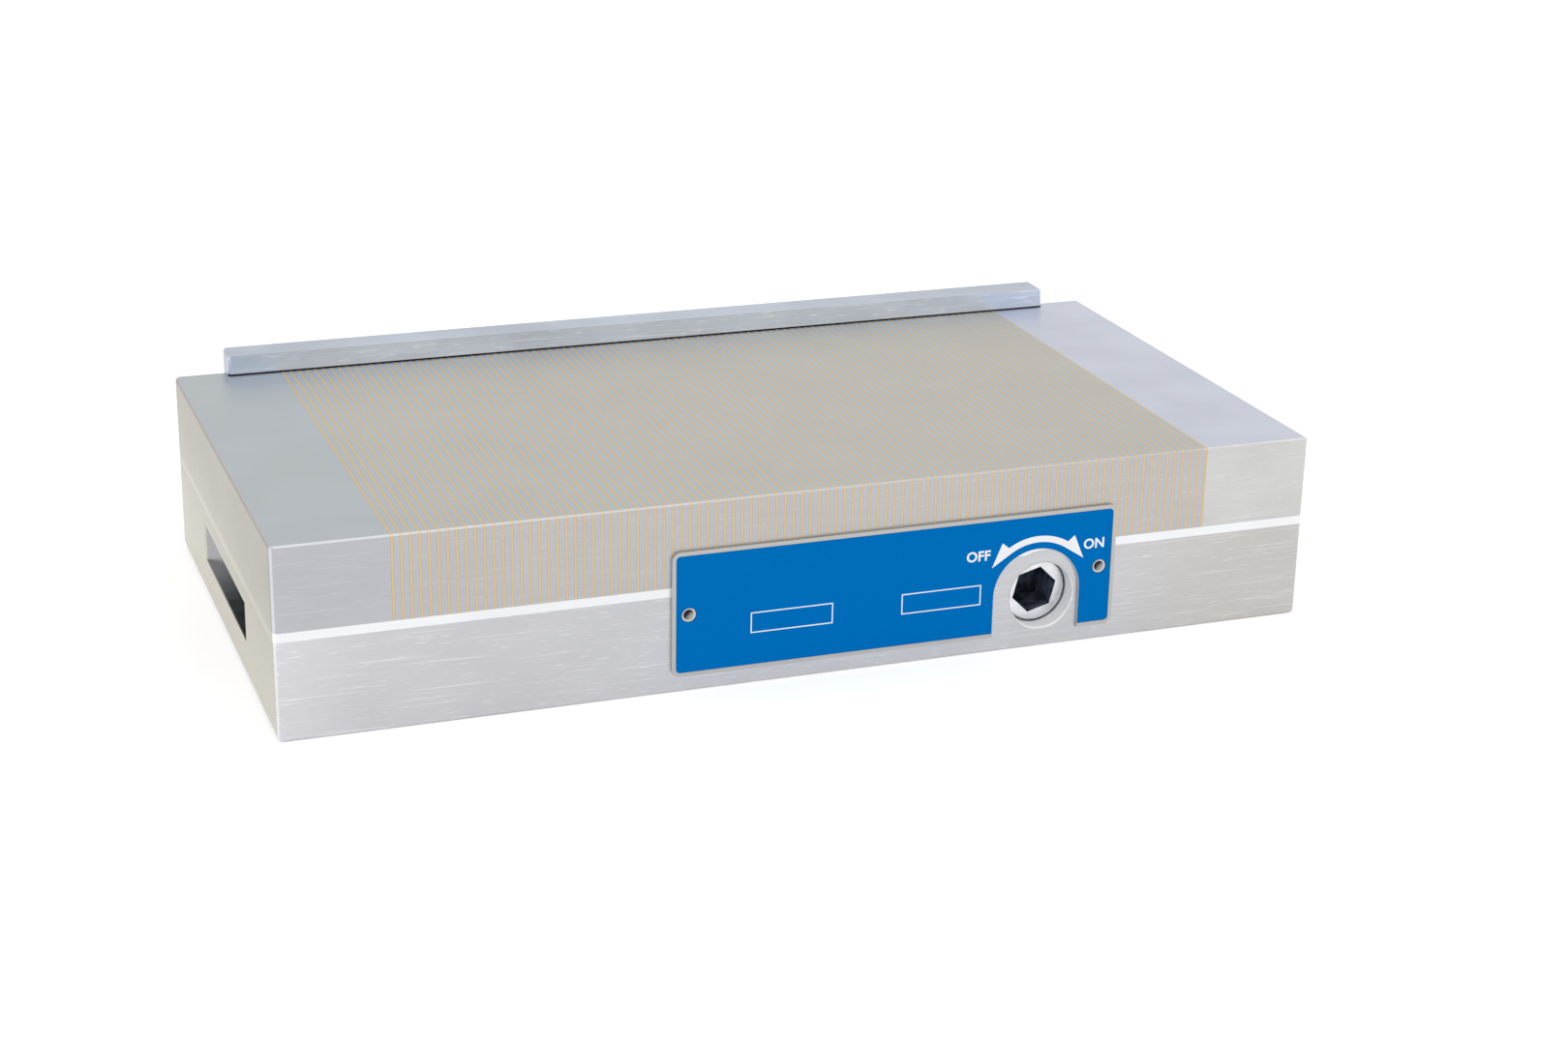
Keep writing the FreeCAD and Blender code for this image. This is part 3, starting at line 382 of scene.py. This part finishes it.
def left_edge_highlight(tree, place, base, shade):
    """Painted highlight: the upright edge at the front left is made lighter, where its rounded corner
    catches the light.
    """
    axes = coordinates(tree, place)
    edge = every(tree, below(tree, axes["X"], BODY_LOW[0] + finish().edge_side),
                 below(tree, axes["Y"], BODY_LOW[1] + finish().edge_front))
    return blend(tree, edge, base, shade)


def notch_patch(tree, place, base, shade):
    """What shows in the name plate's notch is darker."""
    axes = coordinates(tree, place)
    patch = every(tree, below(tree, from_shaft(tree, axes), finish().notch_patch),
                  below(tree, axes["Y"], 0.0))
    return blend(tree, patch, base, shade)


def rail_front(tree, axes):
    """1 at the rail's front, and 0 elsewhere."""
    return below(tree, axes["Y"], RAIL_LOW[1] + finish().rail_skin)


def rail_rear_shading(tree, place, base, shade):
    """Painted shade: all of the rail but its front is darker than the front."""
    return blend(tree, rail_front(tree, coordinates(tree, place)), shade, base)


def rail_joint_shadow(tree, place, base, shade):
    """Painted shadow: a thin dark line on the rail's front, where it rises out of the table."""
    axes = coordinates(tree, place)
    line = every(tree, inside(tree, axes["Z"], TABLE_TOP - finish().joint_under,
                              TABLE_TOP + finish().joint_over),
                 above(tree, axes["X"], BODY_LOW[0] + finish().joint_start), rail_front(tree, axes))
    return blend(tree, line, base, shade)


def lit_shaft_recess(tree, place, base, shade):
    """Painted light: the turned recess in front of the shaft is made light and matt."""
    axes = coordinates(tree, place)
    recess = every(tree, below(tree, from_shaft(tree, axes), SHAFT_RADIUS + finish().recess_wall),
                   below(tree, axes["Y"], SHAFT_LOW[1] - finish().recess_floor),
                   above(tree, axes["Y"], BODY_LOW[1] + finish().recess_edge))
    tree.links.new(opposite(tree, recess), tree.nodes["Principled BSDF"].inputs["Metallic"])
    return blend(tree, recess, base, shade)


def slot_wall_shade(tree, place, base, painted_shade, faded):
    """Painted shade: the milled walls of the clamp slots are dark and mottled at the front and fade
    lighter towards the back.
    """
    axes = coordinates(tree, place)
    walls = every(tree, inside(tree, math_node(tree, "ABSOLUTE", axes["X"], 0.0),
                               BODY_HIGH[0] - finish().slot_deep, BODY_HIGH[0] - finish().slot_lip),
                  inside(tree, axes["Z"], finish().slot_low, finish().slot_high),
                  inside(tree, axes["Y"], -finish().slot_half, finish().slot_half))
    spots = noise(tree, place, (5 * MM, 9 * MM, 3 * MM), detail=3.0, offset=(4.0, 4.0, 0.0))
    mottled_shade = blend(tree, ramp(tree, spots, 0.35, 0.65), scaled(painted_shade, 0.45), scaled(painted_shade, 1.5))
    rear = ramp(tree, axes["Y"], finish().slot_shade_from, finish().slot_shade_to)
    return blend(tree, walls, base, blend(tree, rear, mottled_shade, faded))


# ---------------------------------------------------------------- materials

def ground_steel(name, main, tints=(), calm_above=None, flecks=0.5, clouds=0.02, roughness=0.36):
    """Surface-ground tool steel: even grey with fine lines along the table, faint clouds and light
    flecks where the wheel cut deeper. tints are the functions above, each with its values, and are laid
    over the main colour in order. Over the level calm_above the flecks are faint."""
    material, tree, shader, place = start_material(name)
    base = main
    for tint, *values in tints:
        base = tint(tree, place, base, *values)
    lines = noise(tree, place, (45 * MM, 0.5 * MM, 0.5 * MM), detail=3.0)
    cloud = noise(tree, place, (22 * MM, 22 * MM, 14 * MM), detail=2.0, offset=(3.0, 1.0, 2.0))
    fleck = noise(tree, place, (4.5 * MM, 0.45 * MM, 0.45 * MM), detail=1.0, offset=(7.0, 5.0, 1.0))
    scratch = noise(tree, place, (26 * MM, 0.4 * MM, 0.3 * MM), detail=0.0,
                    turn=(0.0, math.radians(14), 0.0), offset=(1.0, 2.0, 9.0))
    tone = math_node(tree, "MULTIPLY", ramp(tree, cloud, 0.3, 0.7, 1 - clouds, 1 + clouds),
                     ramp(tree, lines, 0.3, 0.7, 0.985, 1.015))
    light = math_node(tree, "ADD", ramp(tree, fleck, 0.62, 0.72, 0.0, 0.16 * flecks),
                      ramp(tree, scratch, 0.68, 0.76, 0.0, 0.16 * flecks))
    if calm_above:
        upper = above(tree, coordinates(tree, place)["Z"], calm_above - SKIN)
        calm = opposite(tree, math_node(tree, "MULTIPLY", upper, 0.8))
        light = math_node(tree, "MULTIPLY", light, calm)
    shade = math_node(tree, "ADD", tone, light)
    grey = add(tree, "ShaderNodeCombineXYZ", {"X": shade, "Y": shade, "Z": shade}).outputs["Vector"]
    tree.links.new(blend(tree, 1.0, base, grey, mode="MULTIPLY"), shader.inputs["Base Color"])
    shader.inputs["Metallic"].default_value = 1.0
    tree.links.new(ramp(tree, lines, 0.3, 0.7, roughness - 0.03, roughness + 0.03),
                   shader.inputs["Roughness"])
    bump = add(tree, "ShaderNodeBump", {"Strength": 0.12, "Distance": 0.02 * MM, "Height": lines})
    tree.links.new(bump.outputs["Normal"], shader.inputs["Normal"])
    return material


def plain_metal(name, main, roughness, metallic=1.0, mottle=0.05, size=4 * MM):
    """A light even mottle, such as turned, cast and plated metals have, and rubber and ferrite too."""
    material, tree, shader, place = start_material(name)
    spots = noise(tree, place, (size, size, size), detail=3.0)
    base = blend(tree, ramp(tree, spots, 0.3, 0.7), scaled(main, 1 - mottle), scaled(main, 1 + mottle))
    tree.links.new(base, shader.inputs["Base Color"])
    shader.inputs["Metallic"].default_value = metallic
    tree.links.new(ramp(tree, spots, 0.3, 0.7, roughness - 0.04, roughness + 0.04),
                   shader.inputs["Roughness"])
    return material


def socket_steel(name, main, deep):
    """Turned shaft with a bright face and a hex socket filled with painted shade, dark and mottled."""
    material, tree, shader, place = start_material(name)
    axes = coordinates(tree, place)
    spots = noise(tree, place, (2.5 * MM, 2.5 * MM, 2.5 * MM), detail=4.0)
    face = blend(tree, ramp(tree, spots, 0.35, 0.65), scaled(main, 0.94), scaled(main, 1.06))
    painted_dark = blend(tree, ramp(tree, spots, 0.4, 0.62), scaled(deep, 0.5), scaled(deep, 1.7))
    socket = every(tree, below(tree, from_shaft(tree, axes), finish().socket_radius),
                   inside(tree, axes["Y"], SHAFT_LOW[1] + finish().socket_lip,
                          SHAFT_LOW[1] + finish().socket_deep))
    tree.links.new(blend(tree, socket, face, painted_dark), shader.inputs["Base Color"])
    tree.links.new(opposite(tree, socket), shader.inputs["Metallic"])
    shader.inputs["Specular IOR Level"].default_value = 0.15
    tree.links.new(ramp(tree, spots, 0.3, 0.7, 0.26, 0.36), shader.inputs["Roughness"])
    return material


def rivet_steel(name, main, dark):
    """Drive rivets: a bright rim round a dish with painted shade on its upper left and painted light on
    its lower right.
    Both rivets share the material, because the offset across is counted afresh from the middle of each."""
    material, tree, shader, place = start_material(name)
    axes = coordinates(tree, place)
    (first, level), (second, _) = rivet_places()
    span = second - first
    across = math_node(tree, "ADD", axes["X"], span / 2 - first)
    wide = math_node(tree, "SUBTRACT", math_node(tree, "FLOORED_MODULO", across, span), span / 2)
    high = math_node(tree, "SUBTRACT", axes["Z"], level)
    rim = ramp(tree, distance(tree, wide, high), finish().dish_inner, finish().dish_outer)
    shade = ramp(tree, math_node(tree, "SUBTRACT", high, wide), finish().dish_light, finish().dish_dark)
    dish = blend(tree, shade, scaled(main, 0.62), dark)
    tree.links.new(blend(tree, rim, dish, main), shader.inputs["Base Color"])
    shader.inputs["Metallic"].default_value = 1.0
    shader.inputs["Roughness"].default_value = 0.3
    return material


def ink(name, main):
    """Screen-printed ink: a matt even film, with hardly any mottle."""
    material, tree, shader, place = start_material(name)
    spots = noise(tree, place, (0.6 * MM, 0.6 * MM, 0.6 * MM), detail=1.0)
    tint = blend(tree, ramp(tree, spots, 0.3, 0.7), scaled(main, 0.985), scaled(main, 1.015))
    tree.links.new(tint, shader.inputs["Base Color"])
    tree.links.new(ramp(tree, spots, 0.3, 0.7, 0.5, 0.6), shader.inputs["Roughness"])
    shader.inputs["Specular IOR Level"].default_value = 0.0
    return material


def dress(material, *names):
    """Gives CAD nodes a material in all their slots."""
    for name in names:
        for slot in NODES[name].material_slots:
            slot.material = material


# ---------------------------------------------------------------- surfaces

def flat_solid(name, outlines, front, thickness, material):
    """A thin upright solid that rides on the chuck. outlines are closed rings of points (x, z), the first
    of them the outside and the others holes, and the solid is every point between them from y = front
    back by the thickness."""
    curve = bpy.data.curves.new(name, "CURVE")
    curve.dimensions = "2D"
    curve.fill_mode = "BOTH"
    curve.extrude = thickness / 2
    for ring in outlines:
        spline = curve.splines.new("POLY")
        spline.points.add(len(ring) - 1)
        spline.points.foreach_set("co", np.column_stack([ring, np.zeros(len(ring)),
                                                         np.ones(len(ring))]).ravel())
        spline.use_cyclic_u = True
    stand_up(name, curve, (0.0, 0.0), front, thickness, material)


def stand_up(name, curve, place, front, thickness, material):
    """Makes a flat curve or text a closed mesh whose own x and y become x and z at a place on the chuck's
    front."""
    flat = bpy.data.objects.new(name + "_flat", curve)
    bpy.context.scene.collection.objects.link(flat)
    bpy.context.view_layer.update()
    mesh = bpy.data.meshes.new_from_object(flat)
    bpy.data.objects.remove(flat)
    mesh.name = name
    mesh.transform(Matrix.Translation((place[0], front + thickness / 2, place[1]))
                   @ Matrix.Rotation(math.pi / 2, 4, "X"))
    weld = bmesh.new()
    weld.from_mesh(mesh)
    bmesh.ops.remove_doubles(weld, verts=weld.verts, dist=0.001 * MM)
    bmesh.ops.recalc_face_normals(weld, faces=weld.faces)
    weld.to_mesh(mesh)
    weld.free()
    mesh.materials.clear()
    mesh.materials.append(material)
    piece = bpy.data.objects.new(name, mesh)
    bpy.context.scene.collection.objects.link(piece)
    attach(piece, "chuck")


def arc(middle, radius, start, end, steps):
    """Points of a circle about middle from one angle to another, in degrees, anticlockwise from +x."""
    angle = np.radians(np.linspace(start, end, steps))
    return np.asarray(middle) + radius * np.column_stack([np.cos(angle), np.sin(angle)])


def rounded_outline(low, high, radius, steps=9):
    """Points (x, z) round a rectangle, anticlockwise from the lower right corner: each corner is a quarter
    circle whose centre stands in from both sides by the radius."""
    left, bottom = np.asarray(low) + radius
    right, top = np.asarray(high) - radius
    corners = [((right, bottom), -90), ((right, top), 0), ((left, top), 90), ((left, bottom), 180)]
    return np.concatenate([arc(middle, radius, start, start + 90, steps) for middle, start in corners])


def field_outline(low, high, radius, notch, notch_radius, steps=49):
    """The printed field: a rounded rectangle with an arch cut up into it from below. The arch is half a
    circle about the notch's middle on two upright legs."""
    rectangle = rounded_outline(low, high, radius)
    arch = arc(notch, notch_radius, 180, 0, steps)
    left_foot, right_foot = ([[notch[0] + side * notch_radius, low[1]]] for side in (-1, 1))
    return np.concatenate([rectangle, left_foot, arch, right_foot])


def arrow_outline(middle, sizes):
    """The double arrow: a band between two arcs about the notch's middle. At each end the head's outer
    corner stands out beyond the band, and its inner side leaves the inner arc along the tangent."""
    inner, outer, tip = sizes.arrow_inner, sizes.arrow_outer, sizes.arrow_tip
    reach = math.degrees(math.acos(inner / tip))
    tip_turn = sizes.arrow_turn
    corner_turn = tip_turn - sizes.arrow_head_turn
    neck_turn = corner_turn - sizes.arrow_barb_turn

    def at(radius, turn):
        """One point at an angle from straight up, clockwise."""
        return arc(middle, radius, 90 - turn, 90 - turn, 1)

    return np.concatenate([
        at(tip, tip_turn), at(sizes.arrow_corner, corner_turn),
        arc(middle, outer, 90 - neck_turn, 90 + neck_turn, 41),
        at(sizes.arrow_corner, -corner_turn), at(tip, -tip_turn),
        arc(middle, inner, 90 + tip_turn - reach, 90 - tip_turn + reach, 41)])


def box_outlines(left, bottom, width, height, line):
    """A blank box: a rectangle and a smaller one inside it, a line's width away."""
    corners = np.array([[0, 0], [1, 0], [1, 1], [0, 1]], float)
    outer = corners * (width, height) + (left, bottom)
    inner = corners * (width - 2 * line, height - 2 * line) + (left + line, bottom + line)
    return [outer, inner]


CAPITAL = 0.729    # height of the built-in letters' capitals at size 1


def word_piece(name, text, left, bottom, height, front, thickness, material):
    """A word in the plain built-in letters, made bolder, scaled so that its capitals have the height."""
    letters = bpy.data.curves.new(name, "FONT")
    letters.body = text
    letters.size = height / CAPITAL
    letters.space_character = 1.02
    letters.offset = 0.035 * height
    letters.extrude = thickness / 2
    letters.resolution_u = 4
    stand_up(name, letters, (left, bottom), front, thickness, material)


# ---------------------------------------------------------------- operators

class CHUCK_OT_stage(bpy.types.Operator):
    """Sets the camera, the lamps, the pale floor and the white room"""
    bl_idname = "chuck.stage"
    bl_label = "Studio"

    def execute(self, context):
        looks = context.scene.chuck_studio
        data = bpy.data.cameras.new("camera")
        data.lens = looks.lens
        camera = bpy.data.objects.new("camera", data)
        camera.location = looks.camera_place
        camera.rotation_euler = looks.camera_turn
        context.scene.collection.objects.link(camera)
        context.scene.camera = camera
        self.lamp(context, "key_lamp", looks.key, looks.key_size, looks.key_place, looks.aim)
        self.lamp(context, "fill_lamp", looks.fill, looks.fill_size, looks.fill_place, looks.aim)
        self.world(context, looks.room)
        self.floor(context, looks.floor_half, looks.floor_glow)
        context.scene.view_settings.view_transform = "Standard"
        return {"FINISHED"}

    @staticmethod
    def lamp(context, name, power, size, middle, aim):
        """A square lamp that faces the aim."""
        data = bpy.data.lights.new(name, "AREA")
        data.energy = power
        data.size = size
        lamp = bpy.data.objects.new(name, data)
        lamp.location = middle
        lamp.rotation_euler = (Vector(aim) - Vector(middle)).to_track_quat("-Z", "Y").to_euler()
        context.scene.collection.objects.link(lamp)

    @staticmethod
    def world(context, strength):
        """Even light all round, white where it is seen or mirrored."""
        world = bpy.data.worlds.new("white_room")
        world.use_nodes = True
        tree = world.node_tree
        tree.nodes.clear()
        seen = CHUCK_OT_stage.seen(tree)
        level = add(tree, "ShaderNodeMapRange", {"Value": seen, "To Min": strength, "To Max": 1.0})
        light = add(tree, "ShaderNodeBackground", {"Color": (1, 1, 1, 1),
                                                   "Strength": level.outputs["Result"]})
        add(tree, "ShaderNodeOutputWorld", {"Surface": light.outputs["Background"]})
        context.scene.world = world

    @staticmethod
    def seen(tree):
        """1 for rays from the camera, from a mirror or through glass, and 0 for light."""
        path = add(tree, "ShaderNodeLightPath")
        first = math_node(tree, "MAXIMUM", path.outputs["Is Camera Ray"], path.outputs["Is Glossy Ray"])
        return math_node(tree, "MAXIMUM", first, path.outputs["Is Transmission Ray"])

    @staticmethod
    def floor(context, half, glow):
        """A pale matt floor that adds a little light of its own where it is seen, so it reads white."""
        material, tree, shader = start_material("matt_white_floor")[:3]
        shader.inputs["Base Color"].default_value = (0.9, 0.9, 0.9, 1)
        shader.inputs["Roughness"].default_value = 0.9
        shader.inputs["Specular IOR Level"].default_value = 0.0
        shader.inputs["Emission Color"].default_value = (1, 1, 1, 1)
        tree.links.new(math_node(tree, "MULTIPLY", CHUCK_OT_stage.seen(tree), glow),
                       shader.inputs["Emission Strength"])
        mesh = bpy.data.meshes.new("floor")
        mesh.from_pydata([(-half, -half, 0), (half, -half, 0), (half, half, 0), (-half, half, 0)], [],
                         [(0, 1, 2, 3)])
        mesh.materials.append(material)
        floor = bpy.data.objects.new("floor", mesh)
        context.scene.collection.objects.link(floor)


class CHUCK_OT_body_steel(bpy.types.Operator):
    """Finishes the base, the pole plate and the strip between them"""
    bl_idname = "chuck.body_steel"
    bl_label = "Base and pole plate"

    def execute(self, context):
        colours, sizes = context.scene.chuck_colours, context.scene.chuck_finish
        # ground base: many light flecks, painted light at the left end, warmer at the right, painted shade
        # in the slots
        base = ground_steel("ground_base_steel", colours.base, flecks=1.0, tints=[
            (along_table, sizes.right_from, sizes.right_to, colours.base_right),
            (along_table, sizes.left_from, BODY_LOW[0], scaled(colours.base, 1.12)),
            (left_face_shading, colours.side),
            (left_edge_highlight, scaled(colours.base, 1.35)),
            (lit_shaft_recess, scaled(colours.base, 1.6)),
            (slot_wall_shade, colours.slot, scaled(colours.base, 0.7))])
        dress(base, "base_body")
        # pole plate: even grey on its sides, and painted shade makes the working face darker and cooler
        plate = ground_steel("ground_plate_steel", colours.plate, calm_above=TABLE_TOP, tints=[
            (left_face_shading, colours.side),
            (left_edge_highlight, scaled(colours.plate, 1.35)),
            (upper_face_shading, TABLE_TOP, colours.table)])
        dress(plate, "left_end_block", "steel_laminations")
        # right end: light neutral grey in front, and bluish above, with painted light making its top
        # lighter than the rest of the table
        right = ground_steel("ground_right_plate_steel", colours.plate_right, calm_above=TABLE_TOP,
                             flecks=0.7, clouds=0.04,
                             tints=[(upper_face_shading, TABLE_TOP, colours.table_right)])
        dress(right, "right_end_block")
        # rolled brass, ground flush with the steel: a flat tan line
        dress(plain_metal("rolled_brass", colours.brass, 0.5, mottle=0.02), "brass_spacers")
        # bright white metal, softer than the steel, wiped nearly smooth by the wheel
        strip = ground_steel("white_metal", colours.strip, flecks=0.1, tints=[
            (notch_patch, scaled(colours.strip, 0.66)),
            (left_face_shading, colours.strip_side),
            (left_edge_highlight, scaled(colours.strip, 1.35))])
        dress(strip, "seam_strip")
        return {"FINISHED"}


class CHUCK_OT_rail(bpy.types.Operator):
    """Finishes the stop rail with its screws and washers"""
    bl_idname = "chuck.rail"
    bl_label = "Stop rail"

    def execute(self, context):
        colours = context.scene.chuck_colours
        # rail bar: painted light makes the front pale blue-grey, with streaks; darker on top and behind; a
        # painted shadow line along the table
        rail = ground_steel("rail_steel_painted_light", colours.rail_front, calm_above=RAIL_HIGH[2],
                            flecks=1.2, clouds=0.08,
                            tints=[(upper_face_shading, RAIL_HIGH[2], colours.rail),
                                   (rail_rear_shading, scaled(colours.rail_front, 0.66)),
                                   (rail_joint_shadow, linear("#24211C"))])
        dress(rail, "back_rail")
        # black oxide: nearly black and half matt
        dress(plain_metal("black_oxide", linear("#2B2C2E"), 0.45), "rail_screws", "plate_screws",
              "stop_screw")
        # bright zinc: light blue-grey, half bright
        dress(plain_metal("zinc_plate", linear("#B9BDC2"), 0.35), "rail_washers")
        return {"FINISHED"}


class CHUCK_OT_shaft(bpy.types.Operator):
    """Finishes the key shaft and what carries it"""
    bl_idname = "chuck.shaft"
    bl_label = "Shaft"

    def execute(self, context):
        # turned steel: bright face, painted shade in the socket
        dress(socket_steel("turned_shaft_steel", linear("#E0E1E4"), linear("#4A5061")), "eccentric_shaft")
        # soft black rubber, matt
        dress(plain_metal("nitrile_rubber", linear("#1C1C1D"), 0.7, metallic=0.0), "shaft_seal_ring")
        # cast bronze, turned: warm brown
        dress(plain_metal("cast_bronze", linear("#B98A52"), 0.4), "shaft_bush")
        return {"FINISHED"}


class CHUCK_OT_inner_works(bpy.types.Operator):
    """Finishes the magnet carriage and what it runs on"""
    bl_idname = "chuck.inner_works"
    bl_label = "Inner works"

    def execute(self, context):
        # milled aluminium: light silver
        dress(plain_metal("milled_aluminium", linear("#C9CBCE"), 0.38), "carriage_frame")
        # soft iron bars: mid grey
        dress(plain_metal("soft_iron", linear("#9A9B9E"), 0.42), "conductor_bars")
        # sintered ferrite: matt charcoal, no metal shine
        dress(plain_metal("sintered_ferrite", linear("#3A393A"), 0.6, metallic=0.0), "magnets")
        # hardened and ground steel: bright grey
        dress(plain_metal("hardened_steel", linear("#A9ABB0"), 0.25), "fork_liners", "dowel_pins")
        # drawn brass: yellow, half bright
        dress(plain_metal("slide_brass", linear("#C9A765"), 0.35), "side_guides", "floor_strips")
        return {"FINISHED"}


class CHUCK_OT_name_plate(bpy.types.Operator):
    """Finishes the name plate and makes its printed field, arrow, words and blank boxes"""
    bl_idname = "chuck.name_plate"
    bl_label = "Name plate"

    def execute(self, context):
        colours = context.scene.chuck_colours
        sizes = context.scene.chuck_print
        # rolled aluminium, satin anodised: a pale silver border with no grain to see
        dress(plain_metal("anodised_aluminium", linear("#B6B4B0"), 0.35, mottle=0.02), "nameplate")
        # drive rivets: pale rim, painted shade and light in the dish
        dress(rivet_steel("drive_rivet_steel", linear("#CFCBC4"), linear("#23252B")), "nameplate_rivets")
        blue = ink("screen_ink_blue", colours.print_blue)
        white = ink("screen_ink_white", colours.print_white)
        low, high = PLATE_LOW[[0, 2]], PLATE_HIGH[[0, 2]]
        floor = float(PLATE_LOW[1]) + sizes.sunk
        notch = np.array([high[0] - sizes.notch_in, low[1] + sizes.notch_up])
        rivets = [arc(middle, sizes.rivet_hole, 0, 350, 36) for middle in rivet_places()]
        field = field_outline(low + sizes.border, high - sizes.border, sizes.corner, notch,
                              sizes.notch_radius)
        flat_solid("print_field", [field, *rivets], floor - sizes.film, sizes.film, blue)
        front = floor - sizes.film - sizes.ink
        arrow = arrow_outline(notch, sizes)
        flat_solid("print_arrow", [arrow], front, sizes.ink, white)
        for name, left in (("print_box_left", sizes.box_first), ("print_box_right", sizes.box_second)):
            box = box_outlines(low[0] + left, low[1] + sizes.box_up, sizes.box_width, sizes.box_height,
                               sizes.box_line)
            flat_solid(name, box, front, sizes.ink, white)
        for text, side in (("OFF", sizes.off_in), ("ON", sizes.on_in)):
            word_piece("print_word_" + text.lower(), text, high[0] - side, low[1] + sizes.word_up,
                       sizes.letter, front, sizes.ink, white)
        return {"FINISHED"}


class CHUCK_PT_panel(bpy.types.Panel):
    """Lists the operators and settings"""
    bl_label = "Magnetic chuck"
    bl_idname = "CHUCK_PT_panel"
    bl_space_type = "VIEW_3D"
    bl_region_type = "UI"
    bl_category = "Chuck"

    def draw(self, context):
        column = self.layout.column()
        for operator in OPERATORS:
            column.operator(operator.bl_idname)
        for group in GROUPS:
            settings = getattr(context.scene, group)
            for name in settings.bl_rna.properties.keys():
                if name not in ("rna_type", "name"):
                    column.prop(settings, name)


OPERATORS = (CHUCK_OT_stage, CHUCK_OT_body_steel, CHUCK_OT_rail, CHUCK_OT_shaft, CHUCK_OT_inner_works,
             CHUCK_OT_name_plate)
GROUPS = {"chuck_colours": ChuckColours, "chuck_finish": FinishSizes, "chuck_print": PrintSizes,
          "chuck_studio": StudioSettings}


def register():
    """Registers the settings, the operators and the panel."""
    for name, group in GROUPS.items():
        bpy.utils.register_class(group)
        setattr(bpy.types.Scene, name, PointerProperty(type=group))
    for operator in OPERATORS:
        bpy.utils.register_class(operator)
    bpy.utils.register_class(CHUCK_PT_panel)


def unregister():
    """Takes all of it back."""
    bpy.utils.unregister_class(CHUCK_PT_panel)
    for operator in reversed(OPERATORS):
        bpy.utils.unregister_class(operator)
    for name, group in GROUPS.items():
        delattr(bpy.types.Scene, name)
        bpy.utils.unregister_class(group)


def main():
    """Runs the operators in order."""
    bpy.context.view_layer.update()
    register()
    bpy.ops.chuck.stage()
    bpy.ops.chuck.body_steel()
    bpy.ops.chuck.rail()
    bpy.ops.chuck.shaft()
    bpy.ops.chuck.inner_works()
    bpy.ops.chuck.name_plate()
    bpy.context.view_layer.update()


if __name__ == "__main__":
    main()
